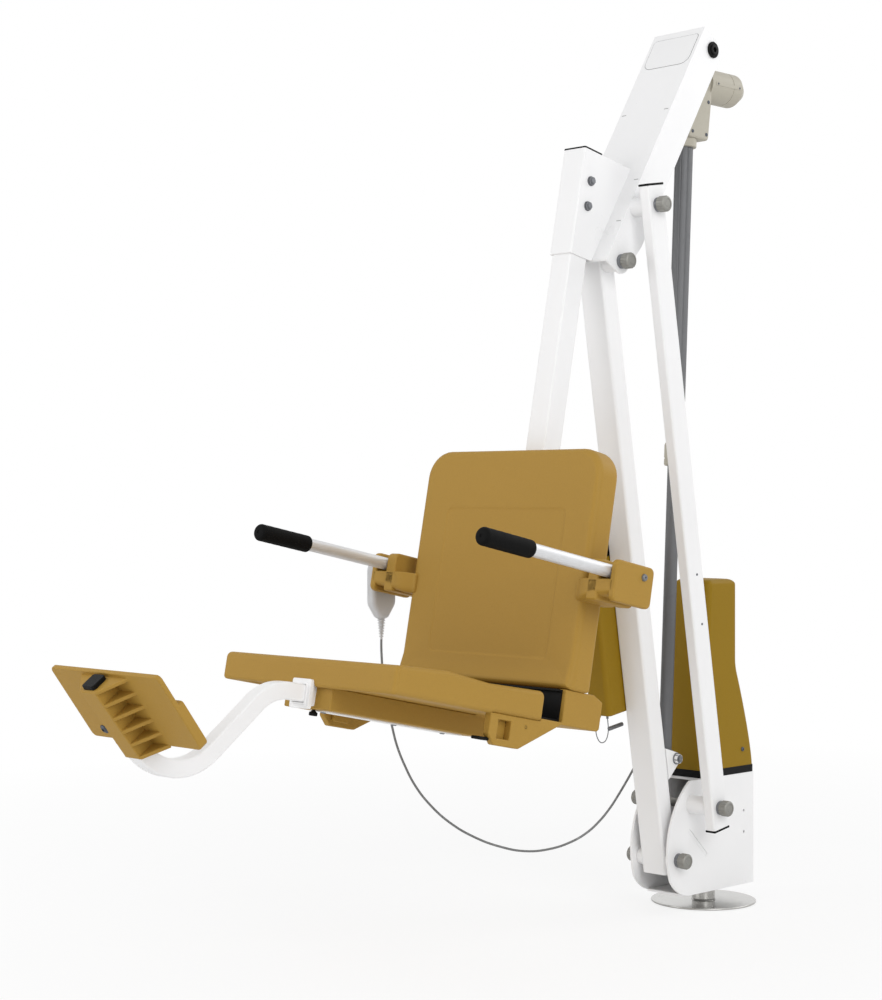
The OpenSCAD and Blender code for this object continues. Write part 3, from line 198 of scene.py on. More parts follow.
whitePaint = powderCoat("whitePaint", (0.90, 0.90, 0.905))
whitePanel = powderCoat("whitePanel", (0.885, 0.885, 0.89))
# a dark grey that paints shade: the shadowed gap round the head's panel and the shade inside the channel's
# slits
paintedSeamShade = powderCoat("paintedSeamShade", (0.3, 0.3, 0.3))
tanPlastic = moulded("tanPlastic", linear(171, 134, 58), 0.46, gloss=0.22)
goldPlastic = moulded("goldPlastic", linear(146, 115, 24), 0.44, gloss=0.14)
beigeCase = moulded("beigeCase", linear(182, 177, 163), 0.42, 0.6, 0.35, 0.3)
greyCase = moulded("greyCase", linear(206, 207, 209), 0.34, 0.5, 0.3)
capZinc = workedMetal("capZinc", linear(150, 149, 144), 0.42, (1, 1, 1), 0.25, 0.55)
boltZinc = workedMetal("boltZinc", linear(132, 134, 138), 0.44, (1, 1, 1), 0.1, 0.7)
postSteel = workedMetal("postSteel", linear(188, 187, 184), 0.16)
discSteel = workedMetal("discSteel", linear(196, 195, 192), 0.12, (1, 0.04, 1), 0.03)
strutSteel = workedMetal("strutSteel", linear(116, 117, 119), 0.5, metal=0.4)
rodSteel = workedMetal("rodSteel", linear(205, 206, 208), 0.14, (1, 1, 0.02))
armTubeSteel = workedMetal("armTubeSteel", linear(228, 229, 231), 0.4, (0.04, 1, 1), 0.04, 0.5)
gearSteel = workedMetal("gearSteel", linear(140, 138, 132), 0.38, (1, 1, 0.1))
brassPad = workedMetal("brassPad", linear(178, 142, 88), 0.35, (1, 1, 1))
foamBlack = blackPart("foamBlack", (0.003, 0.003, 0.003), 0.74, 900)
plugBlack = blackPart("plugBlack", (0.005, 0.005, 0.005), 0.5, 1400)
rubberBlack = blackPart("rubberBlack", (0.009, 0.009, 0.009), 0.6, 700)
cableGrey = blackPart("cableGrey", linear(122, 123, 124), 0.48, 1100)
screwDark = workedMetal("screwDark", linear(92, 96, 104), 0.38, (1, 1, 1), 0.1)
print("finishes made:", len(bpy.data.materials))


def leaning(x, z, tilt):
    # a frame in the XZ plane with its first axis turned down by tilt degrees; it takes
    # millimetres along, across and up, and gives the place in metres
    c, s = math.cos(math.radians(tilt)), math.sin(math.radians(tilt))
    return lambda a, y, h: Vector((x + a * c + h * s, y, z - a * s + h * c)) * mm


pivots = {"foot": (153, 113), "linkLow": (107, 228), "mastLength": 1272, "mastLean": 9.4, "headLean": 31.7,
          "seatTilt": 11.5, "eye": (134, 326), "topPin": (-6, 568)}
leanSin, leanCos = (f(math.radians(pivots["mastLean"])) for f in (math.sin, math.cos))
headPivot = tuple(p + pivots["mastLength"] * k for p, k in zip(pivots["foot"], (leanSin, leanCos)))
linkTop = tuple(p + pivots["mastLength"] * k for p, k in zip(pivots["linkLow"], (leanSin, leanCos)))
worldLay = leaning(0, 0, 0)
mastLay = leaning(*pivots["foot"], pivots["mastLean"])
linkLay = leaning(*pivots["linkLow"], pivots["mastLean"])
headLay = leaning(*headPivot, -pivots["headLean"])
seatLay = leaning(0, 0, -pivots["seatTilt"])
topPin = tuple(c / mm for c in headLay(pivots["topPin"][0], 0, pivots["topPin"][1]).xz)
strutTilt = math.degrees(math.atan2(pivots["eye"][0] - topPin[0], topPin[1] - pivots["eye"][1]))
strutLay = leaning(*topPin, -strutTilt)


def roundedPath(corners, radii, steps, closed=True, sides=1):
    # straight lines between the corners, and at each corner an arc of steps + 1 points
    # sides cuts every straight line into that many pieces
    count = len(corners)
    points = []
    for i, corner in enumerate(corners):
        corner = Vector(corner)
        if not closed and i in (0, count - 1):
            points.append(corner)
            continue
        before, after = Vector(corners[i - 1]) - corner, Vector(corners[(i + 1) % count]) - corner
        # an arc may take up to half of its shorter side; a straight corner only gets points close together
        room = 0.49 * min(before.length, after.length)
        before.normalize()
        after.normalize()
        half = math.acos(max(-1, min(1, before.dot(after)))) / 2
        if half > math.pi / 2 - 0.004:
            points.extend([corner + before * room * 0.1 * (1 - 2 * k / steps) for k in range(steps + 1)])
            continue
        reach = min(radii[i] / math.tan(half), room)
        radius = reach * math.tan(half)
        centre = corner + (before + after).normalized() * (radius / math.sin(half))
        start, end = corner + before * reach - centre, corner + after * reach - centre
        sweep = start.angle_signed(end)
        for k in range(steps + 1):
            turn = -sweep * k / steps
            points.append(centre + Vector((start.x * math.cos(turn) - start.y * math.sin(turn),
                                           start.x * math.sin(turn) + start.y * math.cos(turn))))
    if sides > 1:
        dense = []
        for i, point in enumerate(points):
            dense.append(point)
            if (i + 1) % (steps + 1) == 0:
                following = points[(i + 1) % len(points)]
                dense.extend(point.lerp(following, k / sides) for k in range(1, sides))
        points = dense
    return points


def rectangle(left, right, low, high):
    return [(left, low), (right, low), (right, high), (left, high)]


def insetCorners(corners, depth):
    # a closed outline, given counter-clockwise, moved inwards by depth
    moved = []
    count = len(corners)
    for i in range(count):
        p, q, r = (Vector(corners[(i + k) % count]) for k in (-1, 0, 1))
        first, second = (q - p).normalized(), (r - q).normalized()
        normalOne, normalTwo = Vector((-first.y, first.x)), Vector((-second.y, second.x))
        middle = normalOne + normalTwo
        moved.append(q + middle * (depth / max(0.2, middle.dot(normalOne))))
    return moved


def insetRadii(corners, radii, depth):
    # the radii that keep an inset outline's arcs on their centres
    result = []
    count = len(corners)
    for i in range(count):
        p, q, r = (Vector(corners[(i + k) % count]) for k in (-1, 0, 1))
        bend = (q - p).cross(r - q)
        result.append(max(0.3, radii[i] - depth) if bend > 0 else radii[i] + depth)
    return result


def loft(rings, wrapped=False):
    # rings of equal count joined into one skin, closed at both ends or wrapped round to the first ring
    size = len(rings[0])
    points = [Vector(p) for ring in rings for p in ring]
    faces = []
    last = len(rings) if wrapped else len(rings) - 1
    for i in range(last):
        j = (i + 1) % len(rings)
        for k in range(size):
            n = (k + 1) % size
            faces.append((i * size + k, i * size + n, j * size + n, j * size + k))
    if not wrapped:
        faces.append(tuple(range(size - 1, -1, -1)))
        faces.append(tuple((len(rings) - 1) * size + k for k in range(size)))
    return points, faces


def roundedBlock(corners, radii, low, high, edge, lay, arc=6, edgeSteps=4, levels=(), sides=1, shape=None):
    # an outline pushed from low to high, with both end faces rounded over by edge
    stations = [(low + edge * (1 - math.cos(a)), edge * (1 - math.sin(a)))
                for a in (math.pi / 2 * i / edgeSteps for i in range(edgeSteps + 1))]
    stations += [(level, 0) for level in levels]
    stations += [(high - edge * (1 - math.cos(a)), edge * (1 - math.sin(a)))
                 for a in (math.pi / 2 * i / edgeSteps for i in range(edgeSteps, -1, -1))]
    rings = []
    for level, depth in stations:
        outline = roundedPath(insetCorners(corners, depth), insetRadii(corners, radii, depth), arc,
                              sides=sides)
        ring = [(p.x, level, p.y) for p in outline]
        if shape:
            ring = [shape(*p) for p in ring]
        rings.append([lay(*p) for p in ring])
    return loft(rings)


def circle(radius, count, ribs=0, ribDepth=0):
    # points round a circle; with ribs, every other stretch of points is sunk
    found = []
    for k in range(count):
        sunk = ribDepth if ribs and (k * ribs * 2 // count) % 2 else 0
        angle = 2 * math.pi * k / count
        found.append(((radius - sunk) * math.cos(angle), (radius - sunk) * math.sin(angle)))
    return found


def lathe(profile, place, count, ribs=0, ribbed=(), ribDepth=0):
    # profile rows are (radius, height); place(x, y, height) sets the axis; ribbed names the rows with ribs
    rings = []
    for i, (radius, height) in enumerate(profile):
        sunk = ribDepth if i in ribbed else 0
        edge = circle(max(radius, 0.05), count, ribs if sunk else 0, sunk)
        rings.append([place(x, y, height) for x, y in edge])
    return loft(rings)


def alongY(lay, a, h, towards=1):
    # an axis along Y through (a, h); heights count outwards on the near side, or on the far side with -1
    return lambda x, y, height: lay(a + x, towards * height, h + y)


def spread(start, end, count):
    # evenly spaced values after start, up to end
    return [start + (end - start) * i / count for i in range(1, count + 1)]


def bothSides(low, high):
    # a span along Y on the near side, and its mirror on the far side
    return (low, high), (-high, -low)


def bevelledProfile(rows, radius):
    # a lathe's profile with its corners rounded
    return [(p.x, p.y) for p in roundedPath(rows, [radius] * len(rows), 3, closed=False)]


def squareTube(width, depth, wall, low, high, corner, lay, middleY=0):
    # a hollow rectangular tube with round corners; width is along Y, depth along the first axis
    lip = 0.6
    rows = [(0, low, lip), (0, low + lip, 0), (0, high - lip, 0), (0, high, lip),
            (wall, high, 0), (wall, low, 0)]
    rings = []
    for inward, level, depthIn in rows:
        d, w = depth / 2 - inward - depthIn, width / 2 - inward - depthIn
        outline = roundedPath(rectangle(-d, d, -w, w), [max(lip, corner - inward)] * 4, 6)
        rings.append([lay(p.x, middleY + p.y, level) for p in outline])
    return loft(rings, wrapped=True)


def hexRecess(across, count=36):
    # a hexagonal recess drawn with as many points as the round edge that it joins
    found = []
    for k in range(count):
        turn = 2 * math.pi * k / count
        radius = across / max(math.cos(turn % (math.pi / 3) - math.pi / 6), 0.5)
        found.append((radius * math.cos(turn), radius * math.sin(turn)))
    return found


def hexagon(size, low, high, place):
    # a nut or a bolt's head, size is from its middle to a corner
    chamfer = 0.8
    rows = [(size - chamfer, low), (size, low + chamfer), (size, high - chamfer), (size - chamfer, high)]
    return lathe(rows, place, 6)


def gathered(parts):
    # several skins as one list of points and one of faces
    points, faces = [], []
    for partPoints, partFaces in parts:
        start = len(points)
        points.extend(partPoints)
        faces.extend(tuple(i + start for i in face) for face in partFaces)
    return points, faces


def addPiece(name, parts, finish, body, stands=(), slot=None, crease=36):
    # stands names the solids that the piece replaces, and they are hidden; slot is not used
    points, faces = gathered(parts)
    work = bmesh.new()
    for point in points:
        work.verts.new(point)
    work.verts.ensure_lookup_table()
    for face in faces:
        if len(set(face)) > 2:
            work.faces.new([work.verts[i] for i in face])
    bmesh.ops.recalc_face_normals(work, faces=work.faces)
    keepPiece(name, work, finish, body, stands, slot, crease)


def keepPiece(name, work, finish, body, stands, slot, crease):
    mesh = bpy.data.meshes.new(name)
    work.to_mesh(mesh)
    work.free()
    mesh.polygons.foreach_set("use_smooth", [True] * len(mesh.polygons))
    mesh.set_sharp_from_angle(angle=math.radians(crease))
    mesh.materials.append(finish)
    piece = bpy.data.objects.new(name, mesh)
    bpy.context.scene.collection.objects.link(piece)
    weights = piece.modifiers.new("evenNormals", "WEIGHTED_NORMAL")
    weights.keep_sharp = True
    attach(piece, body)
    if stands:
        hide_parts(*stands)
    slot or stands[0]


def spot(lay, place):
    # the (a, y, h) of a point, in millimetres, in the frame that lay() leads out of
    origin = lay(0, 0, 0)
    offset = (place - origin) / mm
    return offset.dot((lay(1, 0, 0) - origin) / mm), offset.y, offset.dot((lay(0, 0, 1) - origin) / mm)


def softened(node, name, finish, body, width, steps=2, folds=None, foldRadius=0, lay=None, moves=None,
             closes=None):
    # the solid's own mesh with its edges rounded; the functions below take (a, y, h) in the frame of lay
    # folds picks a bent sheet's edges for foldRadius, moves gives a corner a new place,
    # and closes picks the rims of openings to fill
    work = bmesh.new()
    work.from_mesh(nodes[node].data)
    bmesh.ops.remove_doubles(work, verts=work.verts, dist=0.00003)
    if closes:
        rims = [v for v in work.verts if closes(*spot(lay, v.co))]
        bmesh.ops.delete(work, geom=rims, context="VERTS")
        bmesh.ops.holes_fill(work, edges=[e for e in work.edges if e.is_boundary], sides=0)
        bmesh.ops.recalc_face_normals(work, faces=work.faces)
    if moves:
        for corner in work.verts:
            corner.co = lay(*moves(*spot(lay, corner.co)))
    bmesh.ops.dissolve_limit(work, angle_limit=math.radians(0.6), verts=work.verts, edges=work.edges)

    def sharpEdges():
        return [e for e in work.edges if len(e.link_faces) == 2 and e.calc_face_angle(0) > math.radians(28)]

    if folds:
        chosen = [e for e in sharpEdges() if all(folds(*spot(lay, v.co)) for v in e.verts)]
        bmesh.ops.bevel(work, geom=chosen, offset=foldRadius * mm, segments=5, profile=0.5, affect="EDGES",
                        clamp_overlap=True)
    bmesh.ops.bevel(work, geom=sharpEdges(), offset=width * mm, segments=steps, profile=0.5, affect="EDGES",
                    clamp_overlap=True)
    bmesh.ops.recalc_face_normals(work, faces=work.faces)
    keepPiece(name, work, finish, body, (node,), None, 36)


def dressNode(node, finish):
    # a solid that is shown as it is
    carried = nodes[node]
    if carried.material_slots:
        for held in carried.material_slots:
            held.material = finish
    else:
        carried.data.materials.append(finish)


# the cable is made before every other piece; its route runs from the handset's relief to the gland
cableSetup = {"diameter": 5.0, "curveSteps": 6, "roundSteps": 5}
cableRoute = [
    (638, -353.5, 586.5), (638, -353.5, 570), (638, -352, 545), (638, -349, 515), (637, -344, 480),
    (635, -337, 445), (631, -329, 408), (624, -321, 366), (611, -311, 324), (589, -301, 279),
    (557, -289, 237), (510, -275, 195), (452, -259, 160), (394, -243, 136), (334, -225, 121),
    (280, -205, 121), (232, -184, 133), (200, -165, 152), (177, -148, 177), (158, -134, 205),
    (142, -122, 235), (127, -112, 264), (112, -104, 292), (98, -100, 315), (84, -97.5, 335),
    (70, -96, 351), (58, -93.5, 364), (48.5, -89, 373.5), (42, -81, 379), (38.8, -71.5, 381),
    (38, -62.3, 381)]


def layCable():
    line = bpy.data.curves.new("handsetCable", "CURVE")
    line.dimensions = "3D"
    line.bevel_depth = cableSetup["diameter"] / 2 * mm
    line.bevel_resolution = cableSetup["roundSteps"]
    line.resolution_u = cableSetup["curveSteps"]
    spline = line.splines.new("BEZIER")
    spline.bezier_points.add(len(cableRoute) - 1)
    for knot, place in zip(spline.bezier_points, cableRoute):
        knot.co = Vector(place) * mm
        knot.handle_left_type = knot.handle_right_type = "AUTO"
    line.materials.append(cableGrey)
    cable = bpy.data.objects.new("handsetCable", line)
    bpy.context.scene.collection.objects.link(cable)
    bpy.context.view_layer.update()
    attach(cable, "head")
    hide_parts("handset_cable")


layCable()

deckSetup = {"discRadius": 114.5, "discHeight": 4, "postRadius": 25.4, "journalRadius": 25.0,
             "postTop": 262, "socket": 150}


def makeDeckPost():
    d = deckSetup
    rim, thick, journal = d["discRadius"], d["discHeight"], d["journalRadius"]
    disc = bevelledProfile([(0, 0), (rim, 0), (rim, thick), (0, thick)], 1.4)
    addPiece("deckDisc", [lathe(disc, worldLay, 128)], discSteel, "post", ("deck_disc",))
    radius, foot, top = d["postRadius"], -d["socket"], d["postTop"]
    post = bevelledProfile([(0, foot), (radius, foot), (radius, 0), (journal, 0), (journal, top), (0, top)],
                           0.8)
    addPiece("anchorPost", [lathe(post, worldLay, 72)], postSteel, "post", ("anchor_post",))
    weld = [(journal + 2.6, thick), (journal + 1.8, thick + 1.4), (journal, thick + 2.8)]
    addPiece("postWeld", [lathe(weld, worldLay, 72)], postSteel, "post", slot="anchor_post")


makeDeckPost()

sheetSetup = {"edge": 0.9, "thinEdge": 0.7, "farBoss": -82, "bandEdge": 1.2, "bandRear": -20, "bandOut": 4}
softened("base_side_near", "baseSideNear", whitePaint, "base", sheetSetup["edge"])
softened("base_side_far", "baseSideFar", whitePaint, "base", sheetSetup["edge"], lay=worldLay,
         moves=lambda a, y, h: (a, max(y, sheetSetup["farBoss"]), h))
softened("base_spine", "baseSpine", whitePaint, "base", sheetSetup["thinEdge"])

slotSetup = {"place": (86, 143, -44), "half": (41.6, 3.6), "span": (47, 51.3)}


def makeSlotBars():
    # the tab of the spine that fills each side plate's slanting slot
    s = slotSetup
    slotLay = leaning(*s["place"])
    a, h = s["half"]
    outline = rectangle(-a, a, -h, h)
    bars = [roundedBlock(outline, [1] * 4, low, high, 0.4, slotLay, arc=3, edgeSteps=2)
            for low, high in bothSides(*s["span"])]
    addPiece("slotBars", bars, whitePanel, "base", slot="base_side_near")


makeSlotBars()
softened("base_floor", "baseFloor", whitePaint, "base", sheetSetup["thinEdge"])
softened("cover_band", "coverBand", rubberBlack, "base", sheetSetup["bandEdge"], 3, lay=worldLay,
         moves=lambda a, y, h: (a - sheetSetup["bandOut"] if a < sheetSetup["bandRear"] else a, y, h))

coverSetup = {"bottom": 294, "neck": 515, "top": 708, "back": -119, "neckBack": -58, "front": 66,
              "topFront": 45, "half": 50, "corner": 14, "dome": 13, "bulge": 1.3, "ease": (16, 1.6),
              "nearNeck": (20, 24), "steps": (18, 11, 8, 6)}


def makeCover():
    c = coverSetup
    bottom, neck, top, dome = (c[key] for key in ("bottom", "neck", "top", "dome"))

    def backAt(z):
        # the back curves in to the neck, and the bend there is eased
        share = min(1.0, (z - bottom) / (neck - bottom))
        curve = c["back"] + (c["neckBack"] - c["back"]) * share ** c["bulge"]
        span, out = c["ease"]
        ease = max(0.0, 1 - abs(z - neck) / span)
        return curve - out * ease * ease

    below, above = neck - c["nearNeck"][0], neck + c["nearNeck"][1]
    lowSteps, neckSteps, highSteps, domeSteps = c["steps"]
    levels = [bottom] + spread(bottom, below, lowSteps) + spread(below, above, neckSteps)
    levels += spread(above, top - dome, highSteps)
    rows = [(z, 0.0) for z in levels]
    rows += [(top - dome * (1 - math.sin(a)) - 1.5, dome * (1 - math.cos(a)))
             for a in spread(0, math.pi / 2, domeSteps)]
    rows += [(top - 0.7, dome + 7), (top - 0.1, dome + 15)]
    rings = []
    for z, depth in rows:
        front = c["front"] + (c["topFront"] - c["front"]) * (z - bottom) / (top - bottom)
        b, f, w = backAt(min(z, top)) + depth * 1.8, front - depth, c["half"] - depth
        outline = roundedPath(rectangle(b, f, -w, w), [max(4, c["corner"] - depth * 0.4)] * 4, 7)
        rings.append([worldLay(p.x, p.y, z) for p in outline])
    addPiece("cover", [loft(rings)], goldPlastic, "base", ("cover",), crease=50)


makeCover()

screwSetup = {"place": (-75, 330), "seat": 50, "radius": 5, "height": 2.5}


def buttonScrew(lay, a, h, seat, towards, radius, height):
    # a domed head with a hexagonal recess
    place = alongY(lay, a, h, towards)
    socket = radius * 0.48
    dome = [(radius, seat - 0.3), (radius, seat + height * 0.3), (radius * 0.9, seat + height * 0.72),
            (radius * 0.7, seat + height), (socket, seat + height)]
    rings = [[place(x, y, z) for x, y in circle(r, 36)] for r, z in dome]
    for depth in (height - 0.15, height * 0.35):
        rings.append([place(x, y, seat + depth) for x, y in hexRecess(socket / 2)])
    return loft(rings)


coverScrews = [buttonScrew(worldLay, *screwSetup["place"], screwSetup["seat"], side, screwSetup["radius"],
                           screwSetup["height"]) for side in (1, -1)]
addPiece("coverScrews", coverScrews, screwDark, "base", ("base_screws",))

capSetup = {"radius": 16.5, "length": 20.3, "collar": 13.6, "ribs": 16, "ribDepth": 1.1, "shaft": 9.5,
            "spacer": (9, 15)}


def pivotCap(lay, a, h, seat, towards):
    # a ribbed cap with a sunk ring in its end, on a narrow collar
    c = capSetup
    r, end = c["radius"], seat + c["length"]
    rows = [(c["collar"], seat), (c["collar"], seat + 1.6), (r - 0.8, seat + 1.7), (r, seat + 2.6),
            (r, end - 3.4), (r - 1, end - 1.8), (r - 2.2, end - 0.7), (r - 3.8, end), (r - 5.6, end),
            (r - 6, end - 1), (r - 10, end - 1), (r - 10.6, end - 0.4), (0.4, end - 0.4)]
    return lathe(rows, alongY(lay, a, h, towards), 128, c["ribs"], (3, 4), c["ribDepth"])


def pivotSet(name, node, body, lay, a, h, near, far):
    # near and far are (face, spacer): each cap stands off its face on a turned spacer
    ends = ((1, *near), (-1, *far))
    shaft = lathe([(capSetup["shaft"], -sum(far)), (capSetup["shaft"], sum(near))], alongY(lay, a, h), 40)
    caps = [pivotCap(lay, a, h, face + spacer, towards) for towards, face, spacer in ends]
    addPiece(name, [shaft, *caps], capZinc, body, (node,), crease=30)
    bore, rim = capSetup["spacer"]
    rings = []
    for towards, face, spacer in ends:
        low, high = face - 0.2, face + spacer
        rows = bevelledProfile([(bore, low), (rim, low), (rim, high), (bore, high)], 0.7)
        rings.append(lathe(rows, alongY(lay, a, h, towards), 56))
    addPiece(name + "Spacers", rings, boltZinc, body, slot=node)


pivotSet("footPivot", "foot_shaft", "base", worldLay, *pivots["foot"], (51.7, 7.5), (51.7, 7.5))
pivotSet("linkPivotLow", "link_shaft_low", "base", worldLay, *pivots["linkLow"], (128, 5.1), (82, 3))
pivotSet("headPivot", "head_shaft", "head", worldLay, *headPivot, (69, 8.7), (69, 8.7))
pivotSet("linkPivotTop", "link_shaft_top", "head", worldLay, *linkTop, (128, 5.1), (69, 8.7))

glandSetup = {"place": (38, 381), "seat": 50, "nut": 7.5}


def makeGland():
    g = glandSetup
    s = g["seat"]
    place = alongY(worldLay, *g["place"], -1)
    nut = hexagon(g["nut"], s, s + 5.5, place)
    neck = lathe([(6.2, s + 5.4), (6.2, s + 7.5), (5.4, s + 8), (5.2, s + 11), (4.4, s + 12),
                  (2.6, s + 12)], place, 32)
    addPiece("cableGland", [nut, neck], plugBlack, "base", ("cable_gland",))


makeGland()

carriedNodes = {"swivel_gear": gearSteel, "thrust_pad": brassPad, "swivel_bushes": plugBlack,
                "swivel_gearmotor": beigeCase, "control_box": plugBlack, "swivel_pinion": gearSteel,
                "lead_screw": rodSteel, "slot_liner": plugBlack}
for node, finish in carriedNodes.items():
    dressNode(node, finish)
print("base made")

mastSetup = {"width": 63.5, "depth": 44.4, "wall": 3.2, "low": -30, "high": 1292, "corner": 6,
             "spacerEdge": 0.8, "lugEdge": 1.0}
linkSetup = {"width": 25.4, "depth": 50.8, "wall": 3, "low": -45, "high": 1312, "corner": 4.5,
             "middle": 115, "plugOut": 1.6, "plugEdge": 0.8, "screws": (396.2, 501.8), "screwAcross": -3.1,
             "screwSize": (2.6, 0.9)}


def makeMastAndLink():
    m, k = mastSetup, linkSetup
    mast = squareTube(m["width"], m["depth"], m["wall"], m["low"], m["high"], m["corner"], mastLay)
    addPiece("mast", [mast], whitePaint, "arm", ("mast",))
    link = squareTube(k["width"], k["depth"], k["wall"], k["low"], k["high"], k["corner"], linkLay,
                      k["middle"])
    addPiece("rearLink", [link], whitePaint, "link", ("rear_link",))

    def plugFace(a, y, h):
        # the outer faces of both plugs stand further out of the tube
        out = k["plugOut"] if h > k["high"] + 0.3 else -k["plugOut"] if h < k["low"] - 0.3 else 0
        return a, y, h + out

    softened("link_plugs", "linkPlugs", plugBlack, "link", k["plugEdge"], lay=linkLay, moves=plugFace)
    seat = k["middle"] + k["width"] / 2
    screws = [buttonScrew(linkLay, k["screwAcross"], h, seat, 1, *k["screwSize"]) for h in k["screws"]]
    addPiece("linkScrews", screws, screwDark, "link", slot="rear_link")


makeMastAndLink()
softened("mast_spacers", "mastSpacers", whitePaint, "arm", mastSetup["spacerEdge"])
softened("actuator_lugs", "actuatorLugs", whitePaint, "arm", mastSetup["lugEdge"])

eyeSetup = {"place": (-53.534, 207.037), "seat": 31.75, "washer": (12.4, 1.8), "nut": (10.6, 9.4),
            "bolt": (5.2, 12.2)}


def makeLugBolts():
    e = eyeSetup
    seat = e["seat"]
    rim, thick = e["washer"]
    nut, top = e["nut"]
    bolt, tip = e["bolt"]
    parts = []
    for side in (1, -1):
        place = alongY(mastLay, *e["place"], side)
        washer = bevelledProfile([(0, seat), (rim, seat), (rim, seat + thick), (0, seat + thick)], 0.4)
        parts.append(lathe(washer, place, 40))
        parts.append(hexagon(nut, seat + thick - 0.1, seat + top, place))
        end = [(bolt, seat + top - 0.4), (bolt, seat + tip - 0.6), (bolt - 0.8, seat + tip)]
        parts.append(lathe(end, place, 24))
    addPiece("lugBolts", parts, boltZinc, "arm", slot="actuator_lugs")


makeLugBolts()

batterySetup = {"back": -30, "front": 72.2, "near": -31.75, "far": -93.75, "low": 323, "seam": 660,
                "high": 696, "corner": 12}


def makeBatteryCase():
    b = batterySetup

    def shell(rows):
        rings = []
        for level, depth in rows:
            rear, front = b["back"] + depth, b["front"] - depth
            far, near = b["far"] + depth, b["near"] - depth
            outline = roundedPath(rectangle(rear, front, far, near), [max(2.5, b["corner"] - depth)] * 4, 7)
            rings.append([mastLay(p.x, p.y, level) for p in outline])
        return loft(rings)

    low, seam, high = b["low"], b["seam"], b["high"]
    case = [(low, 5), (low + 1.5, 2), (low + 5, 0), (seam - 2, 0), (seam, 1.2)]
    addPiece("batteryCase", [shell(case)], goldPlastic, "arm", ("battery_case",), crease=42)
    lid = [(seam, 2.2), (seam + 1.2, 2), (high - 8, 2), (high - 3, 3.6), (high - 0.6, 7), (high, 12)]
    addPiece("batteryLid", [shell(lid)], plugBlack, "arm", slot="battery_case", crease=42)


makeBatteryCase()

pinSetup = {"loop": [(46, -63, 324), (46, -63, 305), (47, -63, 289), (51, -63, 277), (58, -63, 268),
                     (66, -63, 265), (74, -63, 266), (81, -63, 272), (86, -63, 283), (87, -63, 296),
                     (84, -63, 308), (77, -63, 316), (69, -63, 320), (66, -63, 324)], "wire": 1.1,
            "pin": (0, -63, 289), "radius": 4.5, "length": 46, "crimp": (46, 311, 11.5)}


def sweepRound(points, radius, count=12):
    # rings of a round wire on a smooth line through points of the XZ plane, in the mast's frame
    last = len(points) - 1
    dense = []
    for i in range(last):
        a, b, c, d = (Vector(points[min(max(j, 0), last)]) for j in (i - 1, i, i + 1, i + 2))
        for step in range(4):
            t = step / 4
            bend = (2 * a - 5 * b + 4 * c - d) * t * t + (3 * b - a - 3 * c + d) * t ** 3
            dense.append(0.5 * (2 * b + (c - a) * t + bend))
    dense.append(Vector(points[-1]))
    side = Vector((0, 1, 0))
    rings = []
    for i, point in enumerate(dense):
        along = (dense[min(i + 1, len(dense) - 1)] - dense[max(i - 1, 0)]).normalized()
        lift = along.cross(side).normalized()
        rings.append([mastLay(*(point + side * y + lift * x)) for x, y in circle(radius, count)])
    return rings


def makeLockPin():
    p = pinSetup
    a, y, h = p["pin"]
    r, end = p["radius"], p["length"]
    rows = [(r - 1.4, 0), (r, 1.4), (r, end - 6), (r - 0.6, end - 5.6), (r - 0.6, end - 3.4), (r, end - 3),
            (r, end - 1.4), (r - 1.4, end)]
    pin = lathe(rows, lambda x, z, height: mastLay(a + height, y + x, h + z), 32)
    crimpAt, low, tall = p["crimp"]
    rows = [(1.6, low), (2.6, low + 1), (2.6, low + tall - 2.5), (1.6, low + tall)]
    crimp = lathe(rows, lambda x, z, height: mastLay(crimpAt + x, y + z, height), 20)
    wire = loft(sweepRound(p["loop"], p["wire"]))
    addPiece("lockPin", [wire, pin, crimp], boltZinc, "arm", ("lock_pin",))


makeLockPin()

gearboxSetup = {"half": 30, "edge": 5, "neck": (26.5, -204, -186), "screwSize": (4, 1.8),
                "outline": [(-54, -100), (-47, -185), (22, -185), (22, 0), (16, 16), (-16, 16), (-30, -14),
                            (-56, -30)],
                "radii": [10, 9, 10, 6, 7, 7, 10, 10], "seam": (-1.2, -0.7, 0.7, 1.2),
                "screws": ((10, -10), (10, -172), (-38, -172), (-42, -100))}
motorSetup = {"drop": 56, "start": 50, "radius": 37, "rise": 0.05, "seam": 72, "taper": 104, "length": 129,
              "tip": 21, "knob": 14, "knobLength": 6, "strip": (8, 3, 4), "screws": (16, 92),
              "screwSize": (2.4, 1.1)}
tubeSetup = {"radius": 19.5, "bore": 14.4, "low": -847, "high": -196, "flutes": 8, "fluteDepth": 1.3,
             "fluteWidth": 0.09, "points": 120, "rodEdge": 0.8}
collarSetup = {"radius": 22, "low": -896, "length": 49, "groove": 14}


def makeGearbox():
    g = gearboxSetup
    body = roundedBlock(g["outline"], g["radii"], -g["half"], g["half"], g["edge"], strutLay,
                        levels=g["seam"])
    r, low, high = g["neck"]
    rows = [(r - 2, low), (r - 0.6, low + 0.6), (r, low + 2), (r, high), (r - 4, high + 4)]
    neck = lathe(rows, strutLay, 56)
    addPiece("actuatorGearbox", [body, neck], beigeCase, "actuator", ("actuator_gearbox",))
    screws = [buttonScrew(strutLay, a, h, g["half"] - 0.2, side, *g["screwSize"])
              for side in (1, -1) for a, h in g["screws"]]
    addPiece("gearboxScrews", screws, screwDark, "actuator", slot="actuator_gearbox")


